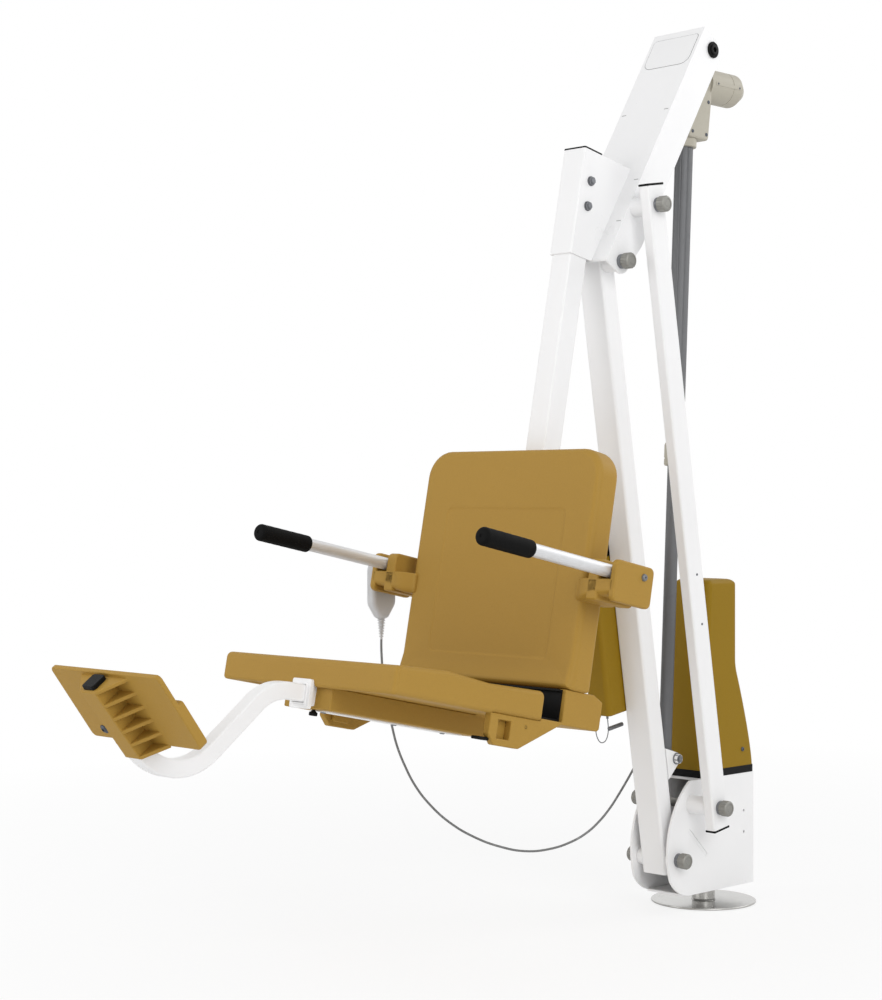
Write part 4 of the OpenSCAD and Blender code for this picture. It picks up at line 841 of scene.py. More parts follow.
def makeMotor():
    m = motorSetup
    r, seam, taper, end = m["radius"], m["seam"], m["taper"], m["length"]

    def back(x, y, height):
        # heights count backwards along the motor's axis, which rises a little
        return strutLay(-m["start"] - height, y, -m["drop"] + x + m["rise"] * height)

    def nearSide(along, y, z):
        return back(z, y, along)

    knob, tip = m["knob"], end + m["knobLength"]
    rows = [(0, -2), (r, -2), (r, seam), (r - 1.6, seam + 0.3), (r - 1.6, seam + 2), (r, seam + 2.3),
            (r, taper), (m["tip"], end), (knob, end), (knob, tip), (0, tip)]
    motor = lathe(bevelledProfile(rows, 1.1), back, 72)
    addPiece("actuatorMotor", [motor], beigeCase, "actuator", ("actuator_motor",))
    start, short, half = m["strip"]
    strip = roundedBlock(rectangle(start, taper - short, -half, half), [3] * 4, r - 1, r + 0.9, 0.7,
                         nearSide, arc=4, edgeSteps=2)
    addPiece("motorSeam", [strip], beigeCase, "actuator", slot="actuator_motor")
    screws = [buttonScrew(nearSide, along, 0, r + 0.7, 1, *m["screwSize"]) for along in m["screws"]]
    addPiece("motorScrews", screws, screwDark, "actuator", slot="actuator_motor")


def makeStrutTube():
    s = tubeSetup

    def ring(level, depth):
        found = []
        for x, y in circle(1, s["points"]):
            share = (math.atan2(y, x) * s["flutes"] / (2 * math.pi)) % 1
            groove = max(0.0, 1 - ((share - 0.5) / s["fluteWidth"]) ** 2)
            radius = s["radius"] - depth - s["fluteDepth"] * groove
            found.append(strutLay(radius * x, radius * y, level))
        return found

    rings = [ring(level, depth) for level, depth in ((s["low"], 0.5), (s["low"] + 0.6, 0), (s["high"], 0))]
    rings += [[strutLay(x, y, level) for x, y in circle(s["bore"], s["points"])]
              for level in (s["high"], s["low"])]
    addPiece("actuatorTube", [loft(rings, wrapped=True)], strutSteel, "actuator", ("actuator_tube",),
             crease=50)


def makeCollar():
    c = collarSetup
    r, low, high = c["radius"], c["low"], c["low"] + c["length"]
    bore, groove = tubeSetup["bore"], low + c["groove"]
    rows = [(bore, low), (r - 2, low), (r, low + 3), (r, groove), (r - 1, groove + 0.6),
            (r - 1, groove + 3.4), (r, groove + 4), (r, high - 4), (r - 2, high), (bore, high)]
    rings = [[strutLay(x, y, height) for x, y in circle(radius, 64)]
             for radius, height in bevelledProfile(rows, 0.6)]
    addPiece("actuatorCollar", [loft(rings, wrapped=True)], beigeCase, "actuator", ("actuator_collar",))


makeGearbox()
makeMotor()
makeStrutTube()
makeCollar()
softened("actuator_rod", "actuatorRod", strutSteel, "rod", tubeSetup["rodEdge"])
print("mast, link and actuator made")

headSetup = {"front": 40.5, "half": 69, "fold": 7, "foldLow": -20, "edge": 0.8, "slack": 0.3,
             "openings": (34, 60, 350, 582)}


def onHeadFold(a, y, h):
    # the two long corners where the channel's front face meets its sides
    away = max(abs(a - headSetup["front"]), abs(abs(y) - headSetup["half"]))
    return away < headSetup["slack"] and h > headSetup["foldLow"]


def inHeadOpenings(a, y, h):
    # the rims of the solid's openings in the front face, which the cover plate and the slits of painted
    # shade stand for
    rear, across, low, high = headSetup["openings"]
    return a > rear and abs(y) < across and low < h < high


softened("head_channel", "headChannel", whitePaint, "head", headSetup["edge"], 2, onHeadFold,
         headSetup["fold"], headLay, closes=inHeadOpenings)

panelSetup = {"sides": (-60, 60.5), "ends": (496, 576), "corners": (20, 20, 8, 8), "proud": 1, "seam": 1.2}
slitShadeSetup = {"across": (-57.6, 57.6), "heights": (75, 182, 370), "half": (6, 0.9)}


def frontBlock(sides, ends, corners, proud, edge, arc, edgeSteps):
    # a thin raised block on the head's front face
    front = headSetup["front"]
    return roundedBlock(rectangle(*sides, *ends), corners, front - 0.3, front + proud, edge,
                        lambda y, n, h: headLay(n, y, h), arc=arc, edgeSteps=edgeSteps)


def makeHeadCovers():
    p, s = panelSetup, slitShadeSetup
    seam = p["seam"]
    plate = frontBlock(p["sides"], p["ends"], p["corners"], p["proud"], 0.5, 8, 3)
    addPiece("headPanel", [plate], whitePanel, "head", ("head_panel",))
    # a dark grey band, seam wide, round the panel: painted shade for the shadowed gap at the panel's edge
    sides, ends = ((low - seam, high + seam) for low, high in (p["sides"], p["ends"]))
    around = frontBlock(sides, ends, [corner + 1 for corner in p["corners"]], 0.3, 0.1, 8, 1)
    addPiece("headPanelSeamShade", [around], paintedSeamShade, "head", slot="head_panel")
    # dark grey slits on the channel's front: painted shade for the shade inside the slits
    long, tall = s["half"]
    slits = [frontBlock((y - long, y + long), (h - tall, h + tall), [0.8] * 4, 0.2, 0.1, 2, 1)
             for y in s["across"] for h in s["heights"]]
    addPiece("channelSlitShades", slits, paintedSeamShade, "head", slot="head_channel")


makeHeadCovers()

socketSetup = {"front": 736.9, "half": 29.4, "wall": 3.6, "fold": 4, "low": 1259, "high": 1482.4,
               "lip": 0.6, "joint": (682.5, 0.7), "cap": (681.5, 737.3, 29.8, 1481.4, 1485.2)}


def makeArmSocket():
    s = socketSetup

    def rearAt(v):
        # where the channel's front face crosses height v
        lean = math.radians(pivots["headLean"] - pivots["seatTilt"])
        n = spot(headLay, seatLay(s["joint"][0], 0, v))[0]
        return s["joint"][0] - (n - headSetup["front"]) / math.cos(lean)

    low, high, lip = s["low"], s["high"], s["lip"]
    rings = []
    for v, inset in ((low, lip), (low + lip, 0), (high - lip, 0), (high, lip)):
        rear, front, half, wall = rearAt(v), s["front"] - inset, s["half"] - inset, s["wall"] - inset
        section = [(rear, -half), (front, -half), (front, half), (rear, half), (rear, half - wall),
                   (front - wall, half - wall), (front - wall, -half + wall), (rear, -half + wall)]
        outline = roundedPath(section, [0.4, s["fold"], s["fold"], 0.4, 0.4, 0.6, 0.6, 0.4], 5)
        rings.append([seatLay(p.x, p.y, v) for p in outline])
    addPiece("armSocket", [loft(rings)], whitePaint, "head", ("arm_socket",))
    rear, front, half, low, high = s["cap"]
    cap = roundedBlock(rectangle(rear, front, -half, half), [4] * 4, low, high, 0.9,
                       lambda u, v, y: seatLay(u, y, v), arc=5, edgeSteps=3)
    addPiece("armEndCap", [cap], plugBlack, "head", ("arm_end_cap",))


makeArmSocket()

armSetup = {"side": 50.8, "rear": 682.5, "wall": 3, "low": 300, "high": 1481, "corner": 4}


def makeSeatArm():
    s = armSetup
    middle = s["rear"] + s["side"] / 2
    tube = squareTube(s["side"], s["side"], s["wall"], s["low"], s["high"], s["corner"],
                      lambda x, y, h: seatLay(middle + x, y, h))
    addPiece("seatArm", [tube], whitePaint, "head", ("seat_arm",))


makeSeatArm()

topPinSetup = {"seat": 69, "radius": 17.5, "shaft": 8, "recess": 5.264}


def makeTopPin():
    s, r, shaft = (topPinSetup[key] for key in ("seat", "radius", "shaft"))
    parts = [lathe([(shaft, -s), (shaft, s)], alongY(worldLay, *topPin), 40)]
    for side in (1, -1):
        place = alongY(worldLay, *topPin, side)
        rows = [(r - 0.6, s), (r, s + 0.8), (r, s + 3.4), (r - 1.4, s + 4.6), (r - 3.4, s + 5),
                (r - 3.8, s + 4.2), (r - 5.6, s + 4.2), (r - 6, s + 6.2), (r - 7.4, s + 7), (6.4, s + 7)]
        rings = [[place(x, y, z) for x, y in circle(q, 36)] for q, z in rows]
        for level in (s + 6.9, s + 2.4):
            rings.append([place(x, y, level) for x, y in hexRecess(topPinSetup["recess"])])
        parts.append(loft(rings))
    addPiece("topPin", parts, plugBlack, "head", ("top_pin",))


makeTopPin()

fixingSetup = {"boltU": 707.4, "boltV": (1365.5, 1418.7), "socketSeat": 29.4, "washer": 10, "nut": 9.4,
               "bolt": 5.9, "shank": (6, 28), "earScrew": (898, 289), "earSeat": 228, "earSize": (4.6, 2),
               "restPin": (739, 598), "restShank": (4, 275), "restSeat": 330, "restSize": (7, 5)}


def makeSeatFixings():
    f = fixingSetup
    s, rim, bolt = f["socketSeat"], f["washer"], f["bolt"]
    washer = bevelledProfile([(0, s - 0.2), (rim, s - 0.2), (rim, s + 1.8), (0, s + 1.8)], 0.4)
    parts = []
    for v in f["boltV"]:
        for side in (1, -1):
            place = alongY(seatLay, f["boltU"], v, side)
            parts.append(lathe(washer, place, 40))
            parts.append(hexagon(f["nut"], s + 1.7, s + 6.6, place))
            parts.append(lathe([(bolt, s + 6), (bolt, s + 8.4), (bolt - 0.9, s + 9)], place, 28))
        shank, half = f["shank"]
        parts.append(lathe([(shank, -half), (shank, half)], alongY(seatLay, f["boltU"], v), 24))
    for side in (1, -1):
        parts.append(buttonScrew(seatLay, *f["earScrew"], f["earSeat"], side, *f["earSize"]))
        r, start = f["restShank"]
        pin = lathe([(r, start), (r, f["restSeat"] + 1)], alongY(seatLay, *f["restPin"], side), 24)
        parts += [pin, buttonScrew(seatLay, *f["restPin"], f["restSeat"], side, *f["restSize"])]
    addPiece("seatFixings", parts, boltZinc, "head", ("seat_bolts",))


makeSeatFixings()

plugSetup = {"radius": 13.5, "rise": 0.7, "socketPlace": (662, 1321), "socketSeat": 29.4,
             "facePlace": (40.5, 46, 52), "faceShare": 0.9}


def makePlugs():
    p = plugSetup
    r, rise = p["radius"], p["rise"]
    rows = [(r, -0.4), (r, rise * 0.4), (r - 0.5, rise), (r - 1.4, rise), (r - 1.8, rise * 0.3),
            (0.5, rise * 0.5)]
    onSocket = lathe([(q, p["socketSeat"] + z) for q, z in rows], alongY(seatLay, *p["socketPlace"]), 48)
    a, across, h = p["facePlace"]
    onFace = lathe([(q * p["faceShare"], a + z) for q, z in rows],
                   lambda x, y, height: headLay(height, across + x, h + y), 48)
    addPiece("headPlugs", [onSocket, onFace], whitePanel, "head", slot="head_channel")


makePlugs()
print("head made")

backSetup = {"rear": 733.3, "thick": 61, "half": 235, "low": 372, "high": 839, "topCorner": 55,
             "lowCorner": 6, "edge": 14, "panelHalf": 160, "panelLow": 427, "panelHigh": 720,
             "panelCorner": 12, "sunk": 1.5, "hollow": 3.5, "hollowRise": 60, "flare": 14, "flareTop": 420,
             "middle": 600, "edgeSteps": 5}


def makeSeatBack():
    b = backSetup
    arc, sides = 8, 10
    outer = rectangle(-b["half"], b["half"], b["low"], b["high"])
    radii = [b["lowCorner"], b["lowCorner"], b["topCorner"], b["topCorner"]]
    panel = rectangle(-b["panelHalf"], b["panelHalf"], b["panelLow"], b["panelHigh"])
    front, rear, edge = b["rear"] + b["thick"], b["rear"], b["edge"]

    def outline(corners, rounding, depth):
        return roundedPath(insetCorners(corners, depth), [max(2, r - depth) for r in rounding], arc,
                           sides=sides)

    def contour(u, y, v):
        # the front hollows a little across; the hollow fades out through the rounded edge
        across = max(0, 1 - (y / b["half"]) ** 2) * min(1, max(0, (v - b["low"]) / b["hollowRise"]))
        toFront = max(0, (u - front + edge) / edge)
        foot = min(1, max(0, (b["flareTop"] - v) / (b["flareTop"] - b["low"])))
        return (b["flare"] * foot * foot - b["hollow"] * across) * toFront

    # rings run from the middle of the rear, round the edge, and into the sunk panel of the front
    core = [(y * 0.04, b["middle"] + (v - b["middle"]) * 0.04) for y, v in outer]
    start, rim = outline(core, radii, 0), outline(outer, radii, edge)
    rings = [[(rear, *p.lerp(q, share)) for p, q in zip(start, rim)] for share in (0.12, 0.45, 0.8)]
    turns = [math.pi / 2 * i / b["edgeSteps"] for i in range(b["edgeSteps"] + 1)]
    for turn in turns:
        depth = edge * (1 - math.cos(turn))
        rings.append([(rear + depth, *p) for p in outline(outer, radii, edge * (1 - math.sin(turn)))])
    for turn in reversed(turns):
        depth = edge * (1 - math.cos(turn))
        rings.append([(front - depth, *p) for p in outline(outer, radii, edge * (1 - math.sin(turn)))])
    corners = [b["panelCorner"]] * 4
    well = outline(panel, corners, 0)
    for share in (0.12, 0.35, 0.65, 0.94, 0.985):
        rings.append([(front, *p.lerp(q, share)) for p, q in zip(rim, well)])
    rings.append([(front - b["sunk"] * 0.5, *p) for p in well])
    for depth, sunk in ((2.4, 0.9), (5, 1), (16, 1), (40, 1), (70, 1), (105, 1), (138, 1)):
        rings.append([(front - b["sunk"] * sunk, *p) for p in outline(panel, corners, depth)])
    placed = [[seatLay(u + contour(u, y, v), y, v) for u, y, v in ring] for ring in rings]
    addPiece("seatBack", [loft(placed)], tanPlastic, "head", ("seat_back",), crease=60)


makeSeatBack()

panSetup = {"rear": 859.6, "front": 1245.6, "low": 305, "top": 362, "half": 235, "lipRear": 994.5,
            "lip": 2.4, "lipIn": 199, "frontLip": 1232.5, "receiver": 27.5, "edge": 9,
            "crown": ((1120, 0.3), (1006, 7)), "dish": 6, "dishEdge": 20, "dishSide": 46, "dishFront": 44,
            "dishRear": (14, 30), "levelHalf": 185, "levelCount": 20}


def makeSeatPan():
    p = panSetup
    rear, front, low, top, half = (p[key] for key in ("rear", "front", "low", "top", "half"))
    corners = [(rear, low), (p["lipRear"], low), (p["lipRear"] + 2, low), (p["frontLip"] - 1, low),
               (p["frontLip"] + 1, low), (front, low), (front, top - 8)]
    corners += [(u, top - under) for u, under in p["crown"]] + [(rear, top - 2)]
    radii = [7, 0.6, 0.6, 0.6, 0.6, 8, 11, 90, 90, 12]

    def within(value, span):
        return min(1.0, max(0.0, value / span))

    def shape(u, y, v):
        # a lip hangs down at the sides and the front, and the top is dished
        side, drop = abs(y), 0.0
        if v < low + 14 and u > p["lipRear"] + 1:
            onSide = p["lipIn"] < side < half + 1
            onFront = u > p["frontLip"] and side > p["receiver"]
            drop = p["lip"] if onSide or onFront else 0.0
        if v > low + 20:
            start, span = p["dishRear"]
            share = within(half - p["dishEdge"] - side, p["dishSide"])
            share *= within(front - p["dishEdge"] - u, p["dishFront"]) * within(u - rear - start, span)
            drop = p["dish"] * share * share * (3 - 2 * share)
        return u, y, v - drop

    marks = [p["lipIn"] + 1.0, p["lipIn"] - 0.4, p["receiver"] + 0.9, p["receiver"] - 0.5]
    far = -p["levelHalf"]
    levels = sorted([-mark for mark in marks] + [far] + spread(far, -far, p["levelCount"]) + marks)
    pan = roundedBlock(corners, radii, -half, half, p["edge"], seatLay, arc=5, edgeSteps=5, levels=levels,
                       sides=12, shape=shape)
    addPiece("seatPan", [pan], tanPlastic, "head", ("seat_pan",), crease=48)


makeSeatPan()

baseSetup = {"widths": ((223, 230), (159, 214), (57, 63)), "edge": 4.5}


def widened(u, y, v):
    # the seat's foot, ears and channel, each face moved from its old width to its new one
    for old, new in baseSetup["widths"]:
        if abs(abs(y) - old) < 0.6:
            return u, math.copysign(new, y), v
    return u, y, v


softened("seat_base", "seatBase", tanPlastic, "head", baseSetup["edge"], 3, lay=seatLay, moves=widened)

pocketSetup = {"u": 955, "v": 277, "half": 20, "span": (205, 214.6)}


def makeEarPockets():
    # the moulded floor that closes each ear's square recess
    p = pocketSetup
    u, v, half = p["u"], p["v"], p["half"]
    outline = rectangle(u - half, u + half, v - half, v + half)
    floors = [roundedBlock(outline, [4] * 4, low, high, 2, seatLay, arc=4, edgeSteps=3)
              for low, high in bothSides(*p["span"])]
    addPiece("earPockets", floors, tanPlastic, "head", slot="seat_base")


makeEarPockets()

forkSetup = {"rear": 709, "front": 820, "low": 541, "high": 620, "floor": 582, "root": 218,
             "inner": (262, 288), "outer": (316, 330), "narrow": 800, "radius": 12, "fillet": 12,
             "filletAt": (240, 60), "levels": (225, 231, 237, 243, 249, 255, 262, 270, 280, 290, 305, 320)}


def makeForks():
    f = forkSetup
    parts = []

    def hollowed(u, y, v):
        # the front draws back towards the seat and the underside rises in a wide fillet
        near = min(1, max(0, (f["inner"][0] - abs(y)) / (f["inner"][0] - f["levels"][0])))
        share = (u - f["rear"]) / (f["front"] - f["rear"])
        start, span = f["filletAt"]
        outwards = min(1, max(0, (abs(y) - start) / span))
        lift = f["fillet"] * outwards * max(0, (f["floor"] - v) / (f["floor"] - f["low"]))
        return u - (f["front"] - f["narrow"]) * near * near * share, y, v + lift

    def block(start, end, top, radii, shape=None, levels=()):
        outline = rectangle(f["rear"], f["front"], f["low"], top)
        for side, (low, high) in zip((1, -1), bothSides(start, end)):
            parts.append(roundedBlock(outline, radii, low, high, 4, seatLay, arc=6, edgeSteps=4,
                                      levels=sorted(side * level for level in levels), sides=4,
                                      shape=shape))

    r = f["radius"]
    block(f["root"], f["outer"][1] - 4, f["floor"], (r, r, 4, 4), hollowed, f["levels"])
    block(*f["inner"], f["high"], (r, 5, r, r))
    block(*f["outer"], f["high"], (r, r, r, r))
    addPiece("armrestForks", parts, tanPlastic, "head", ("armrest_forks",), crease=48)


makeForks()

receiverSetup = {"middle": 288.8, "plate": (1243.5, 1252.5, 50.6, 53.6, 9.2),
                 "sleeve": (1200, 1244, 40, 40.5, 3.9), "rim": (1252, 1255.4, 39, 40, 3.5), "corner": 4}


def makeReceiver():
    # three square tubes about one axis, each with its ends, width, depth and wall
    r = receiverSetup
    parts = []
    for key in ("plate", "sleeve", "rim"):
        low, high, width, depth, wall = r[key]
        parts.append(squareTube(width, depth, wall, low, high, r["corner"],
                                lambda a, y, h: seatLay(h, y, r["middle"] + a)))
    addPiece("footrestReceiver", parts, whitePaint, "head", ("footrest_receiver",))


makeReceiver()

railSetup = {"rear": 850, "front": 1203, "half": 24, "top": 264, "thick": 2.2, "screws": (880, 1010, 1190)}
hookSetup = {"ends": (985, 1014), "span": (206, 224), "heights": (253, 259)}


def makeUnderParts():
    r = railSetup
    low = r["top"] - r["thick"]
    strip = roundedBlock(rectangle(r["rear"], r["front"], low, r["top"] + 0.2), [0.6] * 4, -r["half"],
                         r["half"], 0.6, seatLay, arc=3, edgeSteps=2)
    addPiece("underRail", [strip], whitePaint, "head", slot="footrest_receiver")
    rows = [(5, -0.2), (5, 1), (3.6, 2), (1.6, 2.1), (1.4, 1.2), (0.3, 1.2)]
    heads = [lathe(rows, lambda x, y, height: seatLay(u + x, y, low - height), 24) for u in r["screws"]]
    addPiece("underScrews", heads, boltZinc, "head", slot="seat_bolts")
    h = hookSetup
    hook = roundedBlock(rectangle(*h["ends"], *h["heights"]), [2] * 4, *h["span"], 1.2, seatLay, arc=3,
                        edgeSteps=2)
    addPiece("cableHook", [hook], plugBlack, "head", slot="slot_liner")


makeUnderParts()
print("seat made")

restSetup = {"u": 739, "y": 302, "v": 598, "radius": 12.7, "length": 415}
gripSetup = {"start": 289, "length": 130, "radius": 17}


def makeArmrest(side, name):
    s, g = restSetup, gripSetup
    place = lambda x, y, height: seatLay(s["u"] + height, side * s["y"] + y, s["v"] + x)
    body = "rest_" + name.lower()
    r, length = s["radius"], s["length"]
    # a ball end at the pivot
    turns = [-math.pi / 2 * (1 - i / 8) for i in range(1, 9)]
    rows = [(r * math.cos(turn), r * math.sin(turn)) for turn in turns]
    rows += [(r, 60), (r, length - 1), (r - 1, length)]
    addPiece("armrest" + name, [lathe(rows, place, 56)], armTubeSteel, body, ("armrest_" + name.lower(),),
             crease=50)
    wide, low, high = g["radius"], g["start"], g["start"] + g["length"]
    rows = [(r, low + 0.4), (wide - 3.4, low), (wide - 1.4, low + 0.9), (wide - 0.4, low + 2.4)]
    # foam swells very slightly, six times along the grip
    for i in range(1, 24):
        rows.append((wide - 0.12 * (1 - math.cos(math.pi * i / 2)), low + 3 + (g["length"] - 10) * i / 24))
    rows += [(wide, high - 7), (wide - 0.7, high - 4), (wide - 2.6, high - 1.4), (wide - 6, high - 0.2),
             (3.4, high), (3, high - 1.2), (0.4, high - 1.2)]
    addPiece("grip" + name, [lathe(rows, place, 56)], foamBlack, body, ("grip_" + name.lower(),), crease=50)


makeArmrest(1, "Near")
makeArmrest(-1, "Far")

footSetup = {"route": ((1020.3, 502.5), (1243.1, 547.8), (1466.8, 378.1), (1612.4, 575.7)),
             "bends": (0, 92, 110.6, 0), "tube": 31.75, "corner": 4, "edge": (1601.5, 595, 36.4),
             "tubeDepth": 20.375}


def makeFootrestTube():
    f = footSetup
    path = roundedPath(f["route"], f["bends"], 14, closed=False)
    half = f["tube"] / 2
    section = roundedPath(rectangle(-half, half, -half, half), [f["corner"]] * 4, 5)
    rings = []
    for i, knot in enumerate(path):
        before, after = path[max(i - 1, 0)], path[min(i + 1, len(path) - 1)]
        along = ((knot - before).normalized() + (after - knot).normalized()).normalized()
        rings.append([worldLay(knot.x - along.y * p.y, p.x, knot.y + along.x * p.y) for p in section])
    addPiece("footrestTube", [loft(rings)], whitePaint, "footrest", ("footrest_tube",), crease=40)


makeFootrestTube()

plateLay = leaning(*footSetup["edge"])
plateSetup = {"half": 150, "long": 154, "thick": 9, "step": 10, "stepAt": 62, "corner": 10, "crest": 20.4,
              "spine": (-7.6, -158), "height": (40.5, 36), "foot": 64, "ribs": 6, "rib": 7, "edge": 2.4,
              "ribEdge": 2.2, "hair": 0.2}


def makeFootrestPlate():
    p = plateSetup
    half, bottom, edge = p["half"], -p["long"], p["edge"]
    face = lambda y, a, h: plateLay(a, y, h)
    outline = rectangle(-half, half, bottom, 0)
    parts = [roundedBlock(outline, [p["corner"]] * 4, -p["thick"], 0, edge, face, edgeSteps=3)]
    # the lower half is thicker, and a hair wider so that no two faces coincide
    wide = half + p["hair"]
    outline = rectangle(-wide, wide, bottom - p["hair"], -p["stepAt"])
    radii = [p["corner"], p["corner"], 6, 6]
    parts.append(roundedBlock(outline, radii, -p["thick"] - p["step"], -0.3, edge, face, edgeSteps=3))
    top, low = p["spine"]
    crest = p["crest"]
    tall, short = p["height"]
    # the ridge over the tube, and ribs on both its sides that close the pockets
    ridge = [(low, -2), (top, -2), (top, tall), (low, short)]
    edge = p["ribEdge"]
    parts.append(roundedBlock(ridge, [1, 1, 4, 4], -crest, crest, edge, lambda h, y, a: plateLay(a, y, h),
                              edgeSteps=3))
    pitch = (top - low - p["rib"]) / (p["ribs"] - 1)
    for i in range(p["ribs"]):
        start = low + i * pitch
        reach = short + (tall - short) * i / (p["ribs"] - 1) - 1
        for side in (1, -1):
            rib = [(crest - 3, -2), (p["foot"] + 3, -2), (p["foot"] - 1, 1), (crest + 1.5, reach),
                   (crest - 3, reach)]
            parts.append(roundedBlock(rib, [1, 1, 3, 4, 1], start, start + p["rib"], edge,
                                      lambda y, h, a, side=side: plateLay(a, side * y, h), edgeSteps=3))
    addPiece("footrestPlate", parts, tanPlastic, "footrest", ("footrest_plate",), crease=48)


makeFootrestPlate()

fittingSetup = {"half": 15.9, "plug": 8.4, "boltPlace": (-101, -133), "boltRadius": 7}


def makeFootFittings():
    f = fittingSetup
    depth, half = footSetup["tubeDepth"], f["half"]
    plug = roundedBlock(rectangle(-half, half, -half, half), [5] * 4, -f["plug"], 0.4, 1.2,
                        lambda a, h, y: plateLay(depth + a, y, h), arc=5, edgeSteps=3)
    addPiece("footrestPlug", [plug], plugBlack, "footrest", ("footrest_fittings",))
    r = f["boltRadius"]
    across, down = f["boltPlace"]
    place = lambda x, y, height: plateLay(height, across + x, down + y)
    bolt = lathe([(r, -0.2), (r, 1.2), (r - 0.8, 2.6), (r - 2.4, 3.6), (3, 4), (2.8, 2.2), (0.4, 2.2)],
                 place, 36)
    washer = lathe([(r + 2, -0.2), (r + 2, 0.9), (r + 1.4, 1.3), (2, 1.3)], place, 36)
    addPiece("footrestBolt", [bolt, washer], screwDark, "footrest", slot="footrest_fittings")


makeFootFittings()

knobSetup = {"u": 1214, "v": 262.5, "radius": 8, "length": 10, "stem": 3, "ribs": 12, "ribDepth": 0.6}


def makeKnob():
    s = knobSetup
    place = lambda x, y, height: seatLay(s["u"] + x, y, s["v"] - height)
    r, end = s["radius"], s["length"]
    rows = [(s["stem"], -11), (s["stem"], 0.3), (r - 3.4, 0.4), (r - 3.6, 2.2), (r - 0.8, 3), (r, 4.4),
            (r, end - 1.8), (r - 1, end), (0.4, end + 0.3)]
    knob = lathe(rows, place, 72, s["ribs"], (5, 6), s["ribDepth"])
    addPiece("footrestKnob", [knob], plugBlack, "knob", ("footrest_knob",))


makeKnob()
print("footrest made")

handsetSetup = {"x": 638, "z": 692, "near": -340.5, "thick": 26, "half": 33, "top": 61.5, "edge": 8.5,
                "shoulder": 30, "foot": 11, "radii": (26, 12, 12, 26, 22, 22), "gap": 10.8, "hook": (11, 5),
                "seam": (-14.2, -13.4, -12.6, -11.8), "seamSlack": 0.6, "reliefRings": 7,
                "reliefStart": (8.2, 2), "reliefStep": (-0.6, 5.6),
                "keys": {"up": (-13, 30), "down": (-13, 0), "left": (13, 30), "right": (13, 0)}}


def inHandset(a, y, z):
    return worldLay(handsetSetup["x"] + a, y, handsetSetup["z"] + z)


def makeHandset():
    s = handsetSetup
    near, w, t = s["near"], s["half"], s["top"]

    def pinched(a, y, z):
        # the seam between the two half shells
        onSeam = abs(y - near + s["thick"] / 2) < s["seamSlack"]
        return (a * 0.992, y, z * 0.996) if onSeam else (a, y, z)

    shoulder, foot = -t + s["shoulder"], s["foot"]
    outline = [(-w, shoulder), (-foot, -t), (foot, -t), (w, shoulder), (w, t), (-w, t)]
    levels = [near + level for level in s["seam"]]
    body = roundedBlock(outline, s["radii"], near - s["thick"], near, s["edge"], inHandset, edgeSteps=6,
                        levels=levels, sides=3, shape=pinched)
    rows = [(9.5, -4), (8.6, 0)]
    for i in range(s["reliefRings"]):
        r, z = (start + step * i for start, step in zip(s["reliefStart"], s["reliefStep"]))
        rows += [(r - 2.6, z), (r - 0.3, z + 0.5), (r, z + 1), (r, z + 2.6), (r - 0.3, z + 3.1),
                 (r - 2.6, z + 3.6)]
    rows += [(3.1, 43), (2.6, 44)]
    relief = lathe(rows, lambda x, y, height: inHandset(x, near - s["thick"] / 2 + y, -t - height), 36)
    half, tall = s["hook"]
    hook = roundedBlock(rectangle(-half, half, 0, tall), [1.4] * 4, near - 1.5, near + s["gap"] - 0.3, 0.8,
                        inHandset, arc=3, edgeSteps=2)
    addPiece("handset", [body, relief, hook], greyCase, "head", ("handset_body",), crease=40)


def makeKeys():
    s = handsetSetup
    face = s["near"] - s["thick"]
    ring = [(6.9, -0.3), (6.9, 0.5), (7.5, 0.9), (8.9, 0.9), (9.5, 0.4), (9.5, -0.3)]
    key = [(6.5, -4.5), (6.5, 0.8), (6.1, 1.5), (4.6, 1.9), (2.4, 2.0), (2.2, 1.6), (0.3, 1.6)]

    def over(x, z):
        return lambda p, q, height: inHandset(x + p, face - height, z + q)

    rings = []
    for place in (over(x, z) for x, z in s["keys"].values()):
        rings.append(loft([[place(p, q, height) for p, q in circle(r, 40)] for r, height in ring],
                          wrapped=True))
    addPiece("buttonRings", rings, plugBlack, "head", slot="handset_body")
    for name, (x, z) in s["keys"].items():
        button = lathe(key, over(x, z), 36)
        addPiece("button" + name.title(), [button], rubberBlack, "key_" + name, ("button_" + name,))


makeHandset()
makeKeys()
print("handset made")

stageSetup = {"floorHalf": 40, "glow": (0.9, 3.0, 0.78, 1.0), "floorZ": -0.0006, "worldLight": 0.62,
              "lamps": [("keyLamp", (2.2, 4.6, 3.0), 3.2, 91), ("fillLamp", (4.6, -1.8, 2.4), 3.0, 54),
                        ("backLamp", (-3.4, 1.5, 3.2), 2.4, 40)],
              "aim": (0.5, 0, 0.8)}


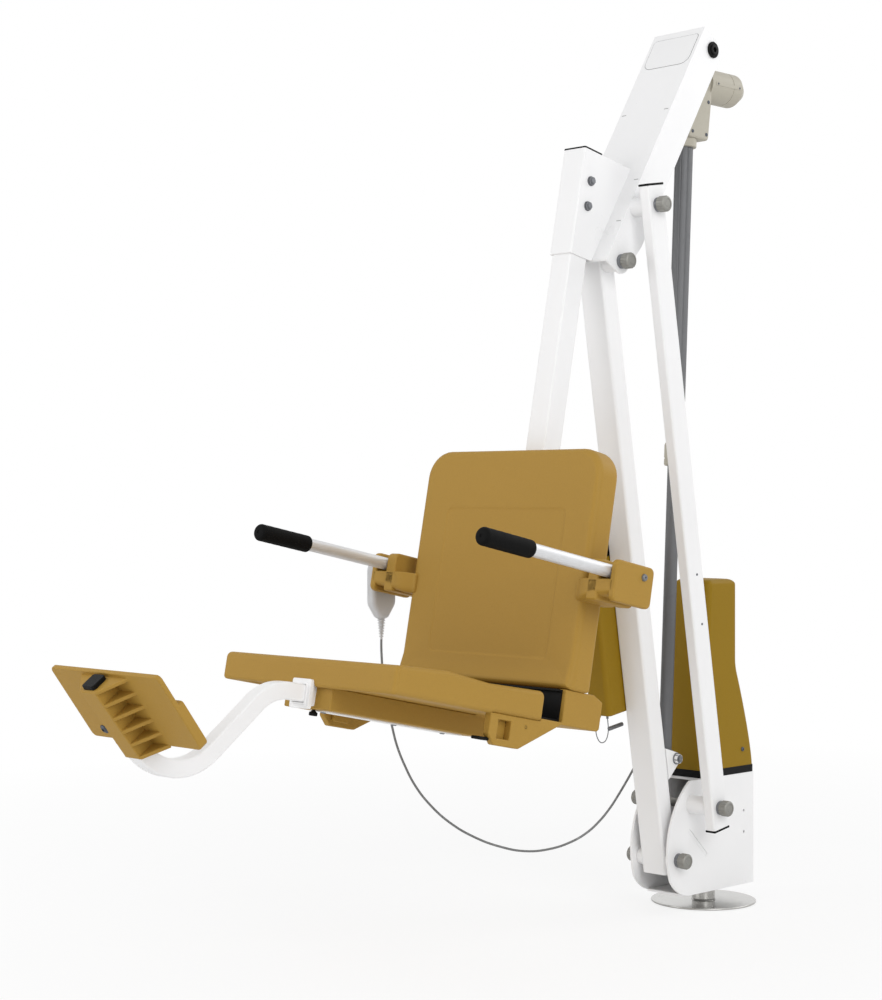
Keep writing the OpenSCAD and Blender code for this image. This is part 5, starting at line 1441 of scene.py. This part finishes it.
def makeRoom():
    # the world lights the object at a plain level, and shows as white to the camera and in reflections
    world = bpy.data.worlds.new("paleRoom")
    bpy.context.scene.world = world
    room = Finish(world, "Background")
    direct = room.add("ShaderNodeLightPath", {}, {}, "Is Camera Ray")
    mirrored = room.add("ShaderNodeLightPath", {}, {}, "Is Glossy Ray")
    level = room.add("ShaderNodeMix", {}, {0: direct + mirrored, 2: stageSetup["worldLight"], 3: 1.0})
    room.dress(Color=(1, 1, 1), Strength=level)


def makeLamps():
    for name, place, size, power in stageSetup["lamps"]:
        light = bpy.data.lights.new(name, "AREA")
        light.energy, light.size = power, size
        lamp = bpy.data.objects.new(name, light)
        lamp.location = place
        towards = Vector(stageSetup["aim"]) - Vector(place)
        lamp.rotation_euler = towards.to_track_quat("-Z", "Y").to_euler()
        bpy.context.scene.collection.objects.link(lamp)


def makeFloor():
    # further from the lift, the floor turns white to the camera; near it, the shadow stays
    pale = Finish(bpy.data.materials.new("paleFloor"))
    grey = pale.blend(pale.noise(3, 2), (0.90, 0.90, 0.90), (0.93, 0.93, 0.93))
    pale.dress(Base_Color=grey, Roughness=0.7)
    seen = pale.add("ShaderNodeLightPath", {}, {}, "Is Camera Ray")
    glow = pale.add("ShaderNodeEmission", {}, {"Color": (1, 1, 1), "Strength": 1.0})
    away = pale.add("ShaderNodeVectorMath", {"operation": "LENGTH"}, {0: pale.place}, "Value")
    near, far, least, most = stageSetup["glow"]
    sockets = {"Value": away, "From Min": near, "From Max": far, "To Min": least, "To Max": most}
    share = pale.add("ShaderNodeMapRange", {}, sockets)
    lit = Wire(pale, pale.shader.outputs[0])
    mixed = pale.add("ShaderNodeMixShader", {}, {0: seen * share, 1: lit, 2: glow})
    pale.feed(pale.tree.nodes["Material Output"], {"Surface": mixed})
    half, level = stageSetup["floorHalf"], stageSetup["floorZ"]
    mesh = bpy.data.meshes.new("floor")
    corners = [(x, y, level) for x, y in rectangle(-half, half, -half, half)]
    mesh.from_pydata(corners, [], [(0, 1, 2, 3)])
    mesh.materials.append(pale.holder)
    floor = bpy.data.objects.new("floor", mesh)
    bpy.context.scene.collection.objects.link(floor)


makeRoom()
makeLamps()
makeFloor()
print("stage made")

bpy.context.scene.view_settings.view_transform = "Standard"
print("scene ready")
